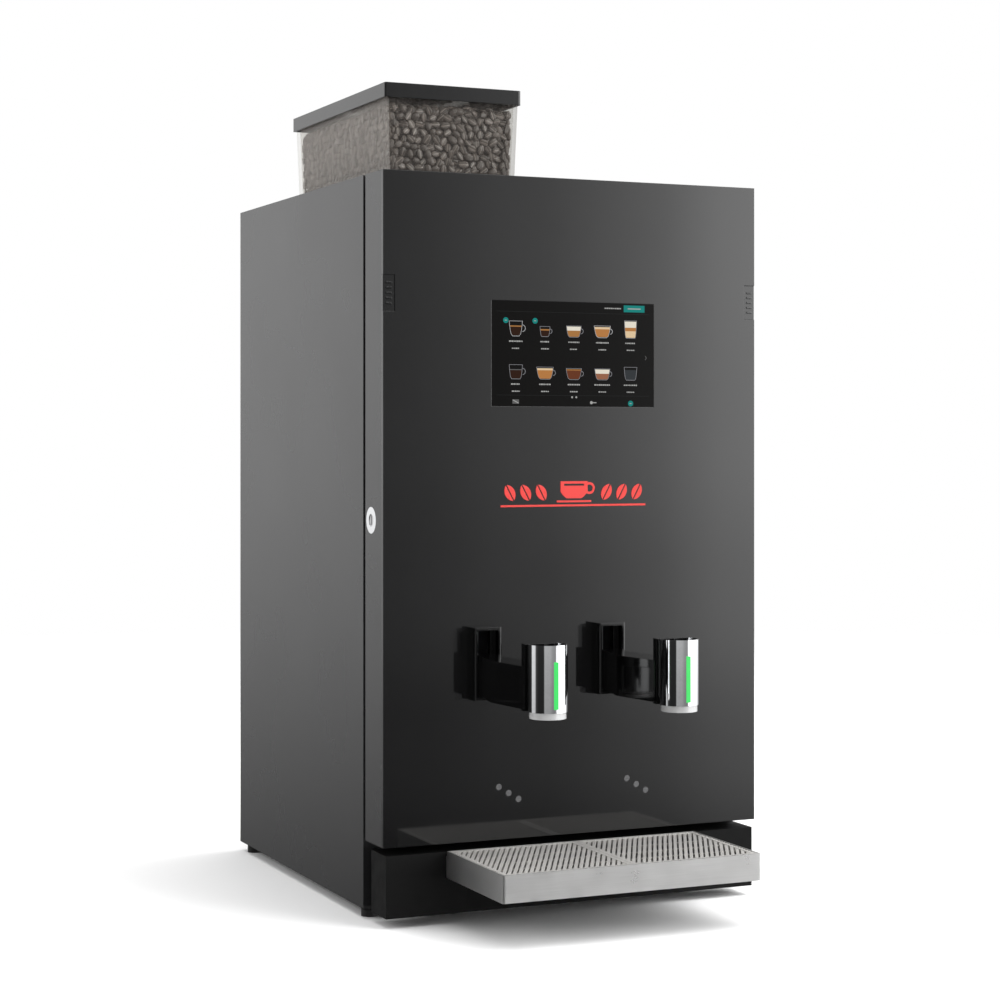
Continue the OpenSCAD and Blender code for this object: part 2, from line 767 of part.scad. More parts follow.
// Powder and water meet in the bowl, and the wheel below it whips them
module mixing_bowls() {
    wall = 2.5;
    color("#e2e0da") place()
        for (x = can_x)
            difference() {
                union() {
                    box([x - bowl_w / 2, x + bowl_w / 2], bowl_y, bowl_z);
                    rod_y([x, mix_y, mix_z], mix_r, mixer_y - mix_y);
                    rod_z([x, mix_y + 14, mix_z - mix_r - 16], 6, 20);
                }
                box([x - bowl_w / 2 + wall, x + bowl_w / 2 - wall],
                    [bowl_y[0] + wall, bowl_y[1] - wall], [bowl_z[0] + wall, bowl_z[1] + through]);
                box([x - 12, x + 12], [mix_y + 4, mixer_y - 14], [mix_z, bowl_z[0] + wall + through]);
                rod_y([x, mix_y + wall, mix_z], mix_r - wall, mixer_y - mix_y - 2 * wall);
                rod_y([x, mixer_y - wall - through, mix_z], whip_shaft + running, wall + 2 * through);
                rod_z([x, mix_y + 14, mix_z - mix_r - 17], 4, 22);
            }
}

module whipper(i) {
    place() {
        rod_y([can_x[i], mix_y + 8, mix_z], whip_shaft, mixer_y + sheet + 10 - mix_y - 8);
        difference() {
            rod_y([can_x[i], mix_y + 10, mix_z], whip_r, 8);
            for (a = [0 : 60 : 300])
                translate([can_x[i] + 9 * cos(a), mix_y + 9, mix_z + 9 * sin(a)])
                    rotate([-90, 0, 0])
                        cylinder(r = 2.5, h = 6, $fn = 24);
        }
    }
}

module whipper_left() color("#2f6fb0") whipper(0);
module whipper_right() color("#2f6fb0") whipper(1);

module nozzle_bar() {
    color("#3a3c3f") place() difference() {
        union() {
            box([-inner_x, inner_x], [nozzle_y - 4, nozzle_y + 4],
                [nozzle_z + nozzle_l, nozzle_z + nozzle_l + nozzle_bar_h]);
            for (x = guide_x)
                for (dx = [-nozzle_dx, nozzle_dx])
                    rod_z([x + dx, nozzle_y, nozzle_z], 3.6, 2 * nozzle_l + nozzle_bar_h);
        }
        for (x = guide_x)
            for (dx = [-nozzle_dx, nozzle_dx])
                rod_z([x + dx, nozzle_y, nozzle_z - through], 2, 2 * nozzle_l + nozzle_bar_h + 2);
    }
}

// Drink hoses in front of the bulkhead, water hoses behind it
module hoses() {
    tip_z = nozzle_z + 2 * nozzle_l + nozzle_bar_h;
    bowl_tip = mix_z - mix_r - 16;
    brew_tip = brew_z - 65;
    color("#b7b2a6") place() {
        for (i = [0, 1]) {
            hose([[can_x[i], mix_y + 14, bowl_tip], [can_x[i], mix_y + 14, bowl_tip - 12 - 12 * i],
                  [guide_x[i] + nozzle_dx, mix_y + 14, tip_z + 28],
                  [guide_x[i] + nozzle_dx, nozzle_y, tip_z + 14],
                  [guide_x[i] + nozzle_dx, nozzle_y, tip_z]], 4);
        }
        hose([[throat_x - 15, brew_y - 44, brew_tip], [throat_x - 15, brew_y - 52, brew_tip],
              [guide_x[0] - nozzle_dx, nozzle_y, tip_z + 16],
              [guide_x[0] - nozzle_dx, nozzle_y, tip_z]], 4);
        hose([[throat_x + 15, brew_y - 44, brew_tip], [throat_x + 15, brew_y - 52, brew_tip],
              [guide_x[1] - nozzle_dx, nozzle_y, tip_z + 8],
              [guide_x[1] - nozzle_dx, nozzle_y, tip_z]], 4);
        hose([[inlet_at[0], panel_y - 20, inlet_at[1] + inlet_stub],
              [inlet_at[0], panel_y - 20, inlet_at[1] + 44],
              [pump_at[0] + 20, pump_at[1] + 30, inlet_at[1] + 60],
              [pump_at[0] + 20, pump_at[1] + 30, bottom_z + sheet + 76]], 4);
        hose([[pump_at[0] + 20, pump_at[1] - 20, bottom_z + sheet + 76],
              [pump_at[0] + 20, pump_at[1] - 20, bottom_z + sheet + 92],
              [boiler_at[0], boiler_at[1], boiler_z[0] - 40],
              [boiler_at[0], boiler_at[1], boiler_z[0] - 14]], 4);
        for (i = [0, 1])
            hose([[boiler_at[0] - 15 + 30 * i, boiler_at[1] - 20, boiler_z[1] + 24],
                  [boiler_at[0] - 15 + 30 * i, boiler_at[1] - 20, boiler_z[1] + 32 + 10 * i],
                  [can_x[i], bulk_y + bulk_t + 18, can_z[0] - 80],
                  [can_x[i], bulk_y - 20, can_z[0] - 80],
                  [can_x[i] + 28, bulk_y - 20, bowl_z[1] + 12],
                  [can_x[i] + 28, bowl_y[1] - 8, bowl_z[1] + 12],
                  [can_x[i] + 28, bowl_y[1] - 8, bowl_z[1] - 4]], 3);
        hose([[boiler_at[0] - 35, boiler_at[1] + 10, boiler_z[1] + 24],
              [boiler_at[0] - 35, boiler_at[1] + 10, boiler_z[1] + 32],
              [throat_x + 60, bulk_y + bulk_t + 18, brew_z - 20],
              [throat_x + 60, bulk_y - 20, brew_z - 20],
              [throat_x + 60, brew_y, brew_z - 20],
              [throat_x + chamber_r + chamber_wall, brew_y, brew_z - 20]], 3);
    }
}

// ---------- rear compartment ----------

module boiler() {
    stand = 18;
    color("#a9adb1") place() {
        rod_z([boiler_at[0], boiler_at[1], boiler_z[0]], boiler_r, boiler_z[1] - boiler_z[0]);
        rod_z([boiler_at[0], boiler_at[1], boiler_z[1] - 1], boiler_r + 8, 7);
        rod_z([boiler_at[0], boiler_at[1], boiler_z[0] - 14], 6, 15);
        for (a = [0 : 45 : 315])
            translate([boiler_at[0] + (boiler_r + 3) * cos(a), boiler_at[1] + (boiler_r + 3) * sin(a),
                       boiler_z[1] + 5])
                cylinder(r = 3.5, h = 4, $fn = 6);
        for (dx = [-15, 15]) rod_z([boiler_at[0] + dx, boiler_at[1] - 20, boiler_z[1] + 5], 5, 19);
        rod_z([boiler_at[0] - 35, boiler_at[1] + 10, boiler_z[1] + 5], 5, 19);
        for (a = [45 : 90 : 315])
            translate([boiler_at[0] + (boiler_r - 8) * cos(a), boiler_at[1] + (boiler_r - 8) * sin(a), 0])
                rod_z([0, 0, bottom_z + sheet], 7, boiler_z[0] - bottom_z - sheet + 1);
    }
}

module pump() {
    x = pump_at[0];
    y = pump_at[1];
    z = bottom_z + sheet;
    color("#7c5f2e") place() {
        for (dx = [-28, 28])
            for (dy = [-34, 34])
                rod_z([x + dx, y + dy, z], 6, 12);
        box([x - 36, x + 36], [y - 42, y + 42], [z + 11, z + 16]);
        rod_y([x, y - 40, z + 42], 26, 62);
        rod_y([x, y + 21, z + 42], 20, 24);
        for (dy = [-20, 30]) rod_z([x + 20, y + dy, z + 45], 5, 31);
    }
}

module control_box() {
    color("#7f8286") place() difference() {
        box(box_x, [panel_y - box_d, panel_y], box_z);
        for (row = [0 : 9])
            box([box_x[0] + 20, box_x[1] - 20], [panel_y - box_d - through, panel_y - box_d + 2],
                [box_z[0] + 30 + row * 10, box_z[0] + 34 + row * 10]);
    }
}

module fan_frame() {
    half = fan_w / 2;
    color("#202123") place() {
        difference() {
            box([fan_at[0] - half, fan_at[0] + half], [panel_y - fan_t, panel_y],
                [fan_at[1] - half, fan_at[1] + half]);
            rod_y([fan_at[0], panel_y - fan_t - through, fan_at[1]], fan_hole, fan_t + 2 * through);
        }
        difference() {
            union() {
                rod_y([fan_at[0], panel_y - fan_t, fan_at[1]], 17, 4);
                for (a = [45 : 90 : 315])
                    translate([fan_at[0], panel_y - fan_t, fan_at[1]])
                        rotate([0, a, 0])
                            translate([0, 0, -2])
                                cube([fan_hole + 1, 3, 4]);
            }
            rod_y([fan_at[0], panel_y - fan_t - through, fan_at[1]], 3 + running, 6);
        }
    }
}

module fan_rotor() {
    y = panel_y - fan_t + 4 + gap;
    color("#2a2b2d") place() {
        rod_y([fan_at[0], y, fan_at[1]], 17, 16);
        rod_y([fan_at[0], y - 4, fan_at[1]], 3, 5);
        for (i = [0 : fan_blades - 1])
            translate([fan_at[0], y + 8, fan_at[1]])
                rotate([0, i * 360 / fan_blades, 0])
                    rotate([35, 0, 0])
                        translate([14, -1, -8])
                            cube([fan_hole - 17, 2, 16]);
    }
}

// Mains inlet with the housing of the switch beside it
module power_inlet() {
    x = power_at[0];
    z = power_at[1];
    half = [switch_size[0] / 2, switch_size[1] / 2];
    color("#18191a") place() {
        difference() {
            union() {
                box([x - 14, x + 14], [panel_y - 24, back_y + 1], [z - 12, z + 12]);
                box([x - 24, x + 24], [back_y, back_y + 2], [z - 15, z + 15]);
            }
            box([x - 12, x + 12], [back_y - 14, back_y + 3], [z - 8, z + 8]);
        }
        for (dx = [-7, 0, 7])
            box([x + dx - 1, x + dx + 1], [back_y - 14, back_y - 4], [z - 2, z + 2]);
        difference() {
            union() {
                box([switch_at[0] - 10, switch_at[0] + 10], [panel_y - 16, back_y + 1],
                    [z - 16, z + 16]);
                box([switch_at[0] - 12, switch_at[0] + 12], [back_y, back_y + 2], [z - 18, z + 18]);
            }
            box([switch_at[0] - half[0] - gap, switch_at[0] + half[0] + gap],
                [back_y - 12, back_y + 3], [z - half[1] - 1, z + half[1] + 1]);
            rod_x([switch_at[0] - half[0] - 2, back_y - 3, z], 1.5 + running, switch_size[0] + 4);
        }
    }
}

module power_switch() {
    x = [switch_at[0] - switch_size[0] / 2, switch_at[0] + switch_size[0] / 2];
    z = switch_at[1];
    color("#a21a1a") place() {
        translate([x[0], 0, 0])
            rotate([90, 0, 90])
                linear_extrude(height = switch_size[0])
                    polygon([[back_y - 7, z - 6], [back_y - 7, z + 6], [back_y - 1, z + 12],
                             [back_y + 3, z + 12], [back_y + 1, z], [back_y + 1, z - 12],
                             [back_y - 1, z - 12]]);
        rod_x([x[0] - 1.5, back_y - 3, z], 1.5, switch_size[0] + 3);
    }
}

module water_inlet() {
    x = inlet_at[0];
    z = inlet_at[1];
    color("#c8a24a") place() difference() {
        union() {
            rod_y([x, back_y - 1, z], inlet_r, inlet_l + 1);
            rod_y([x, panel_y - valve_l, z], collar_r, valve_l + sheet);
            rod_y([x, panel_y - 4, z], collar_r + 3, 4);
            rod_z([x, panel_y - 20, z], 9, inlet_stub);
            box([x - 20, x + 20], [panel_y - valve_l - 12, panel_y - valve_l + 1], [z - 14, z + 14]);
        }
        rod_y([x, panel_y - valve_l + 6, z], inlet_r - 4, valve_l + inlet_l);
    }
}

// ---------- door ----------

module door_frame() {
    lock_at = [-half_w - through, lock_y, lock_h];
    color("#5c5d60") place() difference() {
        union() {
            difference() {
                box([-half_w, half_w], [glass_t, door_t], [door_z, top_z]);
                box([-inner_x, inner_x], [glass_t + sheet, door_t + through],
                    [door_z + sheet, top_z - sheet]);
            }
            box([half_w - hinge_block[0], inner_x], [door_t - hinge_block[1], door_t],
                [door_z + sheet, door_z + sheet + hinge_block[2]]);
            box([half_w - hinge_block[0], inner_x], [door_t - hinge_block[1], door_t],
                [high_bracket_z - 2 - hinge_block[2], high_bracket_z - 2]);
            box([half_w - hinge_block[0], inner_x], [glass_t + sheet, door_t - hinge_block[1]],
                [high_bracket_z - 8, high_bracket_z - 2]);
        }
        screen_window([0, glass_t + sheet + through]);
        for (i = [0, 1]) outlet_slot(i, [0, glass_t + sheet + through]);
        sensor_eyes(glass_t - through, sheet + 2 * through);
        rod_x(lock_at, lock_r, sheet + 2 * through);
        rod_z([hinge_x, hinge_y, door_z - through], hinge_r + running, hinge_block[2] + 4);
        rod_z([hinge_x, hinge_y, high_bracket_z - hinge_block[2] - 4], hinge_r + running,
              hinge_block[2] + 4);
        box([inner_x - through, half_w + through], [hinge_y - 9, door_t + through],
            [high_bracket_z - 1.5, high_bracket_z + bracket_t + 1.5]);
    }
}

module door_glass() {
    color("#141416") place() difference() {
        box([-half_w, half_w], [0, glass_t], [door_z, top_z]);
        screen_window([-through, glass_t + through]);
        for (i = [0, 1]) outlet_slot(i, [-through, glass_t + through]);
        sensor_eyes(-through, glass_t + 2 * through);
        for (side = [-1, 1])
            translate([side * half_w, 0, 0])
                box([-clip_w, clip_w], [-through, glass_t + through],
                    [clip_bottom, clip_bottom + clip_h]);
    }
}

module edge_clips() {
    color("#26272a") place()
        for (side = [-1, 1])
            translate([side * (half_w - clip_w / 2), 0, 0]) {
                box([-clip_w / 2, clip_w / 2], [0.8, glass_t], [clip_bottom, clip_bottom + clip_h]);
                for (i = [-2 : 2])
                    box([-3, 3], [0.3, 0.8], [clip_bottom + clip_h / 2 + 5 * i - 0.8,
                                             clip_bottom + clip_h / 2 + 5 * i + 0.8]);
            }
}

module touch_screen() {
    color("#0a0d12") place() {
        screen_window([gap, glass_t + sheet]);
        screen_window([glass_t + sheet, glass_t + sheet + housing_t], housing_rim);
    }
}

module door_liner() {
    y = [door_t - liner_t, door_t];
    cut = [y[0] - through, y[1] + through];
    color("#303235") place() difference() {
        box([-inner_x, inner_x], y, [door_z + sheet, top_z - sheet]);
        for (x = guide_x)
            box([x - funnel_w / 2 - 2, x + funnel_w / 2 + 2], cut, [arm_z - 3, slot_z[1] + 2]);
        for (z = [[door_z, door_z + sheet + hinge_block[2]],
                  [high_bracket_z - 2 - hinge_block[2], top_z]])
            box([half_w - hinge_block[0], half_w], cut, z);
        box([cam_x - 3, cam_x + cam_t + 3], cut, [lock_h - cam_w - 4, lock_h + cam_r + 6]);
    }
}

module door_gasket() {
    y = [door_t, cab_y - gap];
    z = [door_z + flange - 16, top_z - 16];
    color("#0e0e0f") place() difference() {
        box([-gasket_x, gasket_x], y, z);
        box([-gasket_x + gasket_w, gasket_x - gasket_w], [y[0] - through, y[1] + through],
            [z[0] + gasket_w, z[1] - gasket_w]);
    }
}

// A cup on its saucer between two beans, over a thin rule
module badge() {
    mid = screen_x;
    z = badge_z;
    y = [-badge_t, 0];
    color("#c22626") place() {
        box([mid - 80, mid + 80], y, [z, z + 2]);
        translate([mid, 0, z + 7]) rotate([90, 0, 0]) linear_extrude(height = badge_t) {
            difference() {
                intersection() {
                    translate([0, 16]) circle(r = 17);
                    translate([-15, 1]) square([30, 17]);
                }
                translate([-11, 13.5]) square([22, 2]);
            }
            translate([-19, -3]) square([38, 2]);
            difference() {
                translate([17, 11]) circle(r = 6);
                translate([17, 11]) circle(r = 3.6);
                translate([4, 4]) square([9.5, 14]);
            }
        }
        for (side = [-1, 1])
            for (i = [0 : 2])
                translate([mid + side * (36 + 17 * i), 0, z + 14])
                    rotate([0, side * 28, 0])
                        bean_mark();
    }
}

module bean_mark() {
    rotate([90, 0, 0]) linear_extrude(height = badge_t)
        difference() {
            intersection() {
                translate([-4.5, 0]) circle(r = 10);
                translate([4.5, 0]) circle(r = 10);
            }
            translate([-0.6, -12]) square([1.2, 24]);
        }
}

module cup_sensors() {
    color("#4a4b4e") place() sensor_eyes(0, glass_t + sheet + 4);
}

module outlet_guides() {
    z = [guide_bottom, guide_bottom + guide_h];
    hollow_z = [z[0] + guide_sill, z[1] - guide_wall];
    front = arm_w / 2 + slot_gap;
    color("#0c0c0d") place()
        for (x = guide_x)
            difference() {
                front_rounded([x - guide_w / 2, x + guide_w / 2], [-guide_out, 0], z, guide_r);
                box([x - guide_w / 2 + guide_wall, x + guide_w / 2 - guide_wall],
                    [-guide_out + guide_wall, through], hollow_z);
                box([x - front, x + front], [-guide_out - through, -guide_out + guide_wall + through],
                    hollow_z);
            }
}

// ---------- lock ----------

module lock_barrel() {
    color("#d5d6d8") place() difference() {
        union() {
            rod_x([-half_w, lock_y, lock_h], lock_r, sheet);
            rod_x([-inner_x, lock_y, lock_h], barrel_r, barrel_l - sheet);
        }
        rod_x([-half_w - through, lock_y, lock_h], plug_r + running, barrel_l + 2 * through);
    }
}

// Plug with its key slot, and the hook that swings behind the cabinet's lug
module lock_cam() {
    color("#9fa1a4") place() {
        difference() {
            rod_x([-half_w + 0.6, lock_y, lock_h], plug_r, cam_x + half_w);
            box([-half_w - through, -half_w + 6], [lock_y - 0.8, lock_y + 0.8],
                [lock_h - 4.5, lock_h + 4.5]);
        }
        rod_x([cam_x, lock_y, lock_h], 8, cam_t);
        box([cam_x, cam_x + cam_t], [lock_y - cam_w / 2, lock_y + cam_w / 2],
            [lock_h, lock_h + cam_r]);
        box([cam_x, cam_x + cam_t], [lock_y, lock_y + cam_w / 2 + hook_l],
            [lock_h + cam_r - hook_t, lock_h + cam_r]);
    }
}

// ---------- outlets ----------

// Side view of an arm, drawn as y and z
module arm_profile(x) {
    translate([x[0], 0, 0])
        rotate([90, 0, 90])
            linear_extrude(height = x[1] - x[0])
                polygon([[0, arm_z], [0, arm_z + arm_h], [-guide_out - 2, arm_z + arm_h],
                         [-head_out, arm_z + arm_h - arm_fall],
                         [-head_out - head_r, arm_z + arm_h - arm_fall],
                         [-head_out - head_r, cover_z], [-head_out, cover_z], [-guide_out - 2, arm_z]]);
}

// Top view of an arm, from its guide to its head
module arm_plan(i) {
    g = guide_x[i];
    h = cup_x[i];
    half = arm_w / 2;
    root_y = -guide_out + guide_wall + 2;
    polygon([[g - half, root_y], [g - half, elbow_y],
             [h - back_block[0], -head_out + back_block[1] + 3],
             [h - back_block[0] + 6, -head_out + back_block[1]], [h, -head_out],
             [h + 12, -head_out + back_block[1]], [h + 12, -head_out + back_block[2]],
             [g + half, elbow_y + 17], [g + half, root_y]]);
}

module outlet_arm(i) {
    g = guide_x[i];
    h = cup_x[i];
    half = arm_w / 2;
    slider_x = guide_w / 2 - guide_wall - 0.5;
    face = [h - back_block[0] - g + half, -head_out + back_block[1] + 3 - elbow_y];
    place() difference() {
        union() {
            intersection() {
                translate([0, 0, arm_z - arm_drop - 10]) linear_extrude(height = arm_h + 40) arm_plan(i);
                arm_profile([g - half - 1, h + 40]);
            }
            box([g - slider_x, g + slider_x], [-guide_out + guide_wall + gap, -gap],
                [arm_z, arm_z + arm_h]);
            box([g - neck_w / 2, g + neck_w / 2], [-through, funnel_y[0] + 1],
                [arm_z + 3, arm_z + arm_h - 3]);
            box([g - funnel_w / 2, g + funnel_w / 2], funnel_y, [arm_z, arm_z + arm_h - 1]);
            rod_z([h, -head_out, cover_z], core_r, cover_h - 3);
            box([h - back_block[0], h + back_block[0]],
                [-head_out + back_block[1], -head_out + back_block[2]], [cover_z, cover_z + cover_h]);
            for (dx = [-5, 5]) rod_z([h + dx, -head_out, head_z + 2], 4, ring_h);
        }
        box([g - funnel_w / 2 + funnel_wall, g + funnel_w / 2 - funnel_wall],
            [funnel_y[0] + 3, funnel_y[1] - funnel_wall], [arm_z + 8, arm_z + arm_h + through]);
        box([g - 5, g + 5], [elbow_y + 8, funnel_y[0] + 4], [arm_z + 8, arm_z + 26]);
        translate([g, elbow_y + 13, arm_z + 6])
            rotate([0, 0, atan2(-head_out - elbow_y - 13, h - g)])
                translate([-5, -5, 0])
                    cube([norm([h - g, -head_out - elbow_y - 13]) + 10, 10, 18]);
        for (dx = [-5, 5]) rod_z([h + dx, -head_out, head_z], 2.5, arm_z + 8 - head_z);
        translate([g - half, elbow_y, arm_z - 1])
            rotate([0, 0, atan2(face[1], face[0])])
                translate([6, -through, 0])
                    cube([norm(face) - 10, through + 1.2, arm_h - 12]);
    }
}

module outlet_arm_left() color("#0b0b0c") outlet_arm(0);
module outlet_arm_right() color("#0b0b0c") outlet_arm(1);

// Chrome shell round the front of a head, and the ring below it
module outlet_cover(i) {
    h = cup_x[i];
    place() {
        difference() {
            rod_z([h, -head_out, cover_z], head_r, cover_h);
            rod_z([h, -head_out, cover_z - through], core_r, cover_h + 2 * through);
            box([h - head_r, h + head_r], [-head_out + back_block[1], -head_out + head_r + 1],
                [cover_z - through, cover_z + cover_h + through]);
            box([h - light_w / 2, h + light_w / 2], [-head_out - head_r - 1, -head_out], light_z);
        }
        difference() {
            rod_z([h, -head_out, head_z], core_r, ring_h);
            rod_z([h, -head_out, head_z - through], 11, ring_h + 2 * through);
        }
    }
}

module outlet_cover_left() color("#d3d5d8") outlet_cover(0);
module outlet_cover_right() color("#d3d5d8") outlet_cover(1);

module outlet_light(i) {
    place()
        box([cup_x[i] - light_w / 2, cup_x[i] + light_w / 2],
            [-head_out - head_r - light_out, -head_out - core_r], light_z);
}

module outlet_light_left() color("#35d060") outlet_light(0);
module outlet_light_right() color("#35d060") outlet_light(1);

// ---------- drip tray ----------

module drip_tray() {
    x = [tray_x - tray_w / 2, tray_x + tray_w / 2];
    inner = [x[0] + tray_wall, x[1] - tray_wall];
    color("#b9babb") place() {
        difference() {
            union() {
                front_rounded(x, [-tray_out, -pull_gap], [tray_z0, tray_z1], tray_r);
                box(x, [-pull_gap - tray_wall, tray_in], [tray_z0, tongue_z]);
            }
            front_rounded(inner, [-tray_out + tray_wall, -pull_gap - tray_wall],
                          [tray_z0 + tray_wall, tray_z1 + through], tray_r - tray_wall);
            box(inner, [-ledge, tray_in - tray_wall], [tray_z0 + tray_wall, tongue_z - tray_wall]);
        }
        for (y = [-tray_out + tray_wall, -pull_gap - tray_wall - ledge])
            box([inner[0] + 3, inner[1] - 3], [y, y + ledge],
                [grid_z[0] - gap - ledge_t, grid_z[0] - gap]);
    }
}

// One half of the cup grid: a rim, slanted bars on top and cross bars under them
module grid(x, outer) {
    mid_z = grid_z[0] + 2.4;
    inner_x = [x[0] + grid_rim, x[1] - grid_rim];
    inner_y = [grid_y[0] + grid_rim, grid_y[1] - grid_rim];
    reach = norm([x[1] - x[0], grid_y[1] - grid_y[0]]);
    bars = floor(reach / 2 / grid_pitch);
    teeth = floor((inner_y[1] - inner_y[0]) / grid_pitch);
    color("#c9c5be") place() {
        difference() {
            box(x, grid_y, grid_z);
            box(inner_x, inner_y, [grid_z[0] - through, grid_z[1] + through]);
            for (i = [0 : teeth - 1])
                box([outer - 1.6, outer + 1.6],
                    [inner_y[0] + (i + 0.25) * grid_pitch, inner_y[0] + (i + 0.75) * grid_pitch],
                    [grid_z[1] - 2, grid_z[1] + through]);
        }
        intersection() {
            box([inner_x[0] - 0.5, inner_x[1] + 0.5], [inner_y[0] - 0.5, inner_y[1] + 0.5],
                [mid_z, grid_z[1] - 0.2]);
            translate([(x[0] + x[1]) / 2, (grid_y[0] + grid_y[1]) / 2, mid_z])
                rotate([0, 0, bar_angle])
                    for (i = [-bars : bars])
                        translate([-reach / 2, i * grid_pitch - bar_w / 2, 0])
                            cube([reach, bar_w, grid_t]);
        }
        for (i = [1 : 3]) {
            y = inner_y[0] + i * (inner_y[1] - inner_y[0]) / 4;
            box([inner_x[0] - 0.5, inner_x[1] + 0.5], [y - 1.5, y + 1.5], [grid_z[0], mid_z + 0.2]);
        }
    }
}

module grid_left() {
    edge = tray_x - tray_w / 2 + tray_wall + pull_gap;
    grid([edge, tray_x - grid_gap / 2], edge);
}

module grid_right() {
    edge = tray_x + tray_w / 2 - tray_wall - pull_gap;
    grid([tray_x + grid_gap / 2, edge], edge);
}

// ---------- bean hopper ----------

module bean_hopper() {
    x = [lid_x[0] + hopper_inset, lid_x[1] - hopper_inset];
    y = [lid_y[0] + hopper_inset, lid_y[1] - hopper_inset];
    color([0.75, 0.75, 0.73, 0.35]) place() difference() {
        union() {
            leaning(x, y, hopper_z, hopper_lean);
            rod_z([throat_x, throat_y, top_z - spigot_l], spigot_r, spigot_l + gap + 1);
        }
        hopper_space(0, hopper_z[1] + through);
        rod_z([throat_x, throat_y, top_z - spigot_l - through], throat_r, spigot_l + hopper_base + 3);
        box([throat_x - gate_w / 2 - gap, throat_x + gate_w / 2 + gap],
            [throat_y - gate_front - 2, lid_y[1] + through], gate_z);
    }
}

// The space inside the hopper, or the beans that fill it less a clearance
module hopper_space(clear, top) {
    wall = hopper_wall + clear;
    rise = (hopper_z[1] - hopper_z[0]);
    floor_z = hopper_z[0] + hopper_base + clear;
    lean_low = hopper_lean * (hopper_z[1] - floor_z) / rise;
    lean_top = hopper_lean * (hopper_z[1] - top) / rise;
    x = [lid_x[0] + hopper_inset + wall + lean_top, lid_x[1] - hopper_inset - wall - lean_top];
    y = [lid_y[0] + hopper_inset + wall + lean_top, lid_y[1] - hopper_inset - wall - lean_top];
    leaning(x, y, [floor_z, top], lean_low - lean_top);
}

module beans() color("#4a2a18") place() hopper_space(gap, beans_top);

module hopper_lid() {
    color("#17181a") place() difference() {
        front_rounded(lid_x, lid_y, lid_z, 3);
        box([lid_x[0] + lid_wall, lid_x[1] - lid_wall], [lid_y[0] + lid_wall, lid_y[1] - lid_wall],
            [lid_z[0] - through, lid_z[1] - lid_top]);
    }
}

module hopper_gate() {
    y = [throat_y - gate_front, lid_y[1] + gate_tail];
    color("#8c8f93") place() difference() {
        union() {
            box([throat_x - gate_w / 2, throat_x + gate_w / 2], y, [gate_z[0] + gap, gate_z[1] - gap]);
            box([throat_x - gate_w / 2, throat_x + gate_w / 2], [y[1] - 3, y[1]],
                [gate_z[0] + gap, gate_z[1] + 12]);
        }
        rod_z([throat_x, throat_y, gate_z[0] - through], throat_r, 8);
    }
}

// ---------- the machine ----------

base_pan();
levelling_feet();
left_side_panel();
right_side_panel();
rear_panel();
top_panel();
bulkhead();
plinth();
door_brackets();
panel_screws();
grinder_body();
grinder_burr();
drive_motors();
brew_frame();
brew_piston();
brew_screw();
grounds_bin();
canister_left();
canister_right();
canister_lid_left();
canister_lid_right();
auger_left();
auger_right();
mixing_bowls();
whipper_left();
whipper_right();
nozzle_bar();
hoses();
boiler();
pump();
control_box();
fan_frame();
fan_rotor();
power_inlet();
power_switch();
water_inlet();
door_frame();
door_glass();
door_liner();
door_gasket();
touch_screen();
edge_clips();
badge();
cup_sensors();
outlet_guides();
lock_barrel();
lock_cam();
outlet_arm_left();
outlet_cover_left();
outlet_light_left();
outlet_arm_right();
outlet_cover_right();
outlet_light_right();
drip_tray();
grid_left();
grid_right();
bean_hopper();
beans();
hopper_lid();
hopper_gate();
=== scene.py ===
import math
import random

import bpy
from mathutils import Euler, Matrix, Vector


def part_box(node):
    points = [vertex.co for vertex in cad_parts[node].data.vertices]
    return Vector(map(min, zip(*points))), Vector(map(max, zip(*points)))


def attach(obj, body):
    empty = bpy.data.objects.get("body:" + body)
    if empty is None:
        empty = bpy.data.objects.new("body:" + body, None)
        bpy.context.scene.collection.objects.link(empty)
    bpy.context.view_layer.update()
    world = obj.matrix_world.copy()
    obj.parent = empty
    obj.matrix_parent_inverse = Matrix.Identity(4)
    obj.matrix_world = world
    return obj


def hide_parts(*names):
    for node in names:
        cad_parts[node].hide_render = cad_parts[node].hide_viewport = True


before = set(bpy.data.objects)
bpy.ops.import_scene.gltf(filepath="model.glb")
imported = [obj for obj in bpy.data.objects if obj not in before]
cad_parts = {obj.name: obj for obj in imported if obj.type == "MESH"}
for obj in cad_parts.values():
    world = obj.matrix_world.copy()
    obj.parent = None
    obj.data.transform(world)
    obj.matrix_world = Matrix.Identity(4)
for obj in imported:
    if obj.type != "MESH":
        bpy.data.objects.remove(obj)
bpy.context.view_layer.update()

MM = 0.001


# ---------- node trees ----------

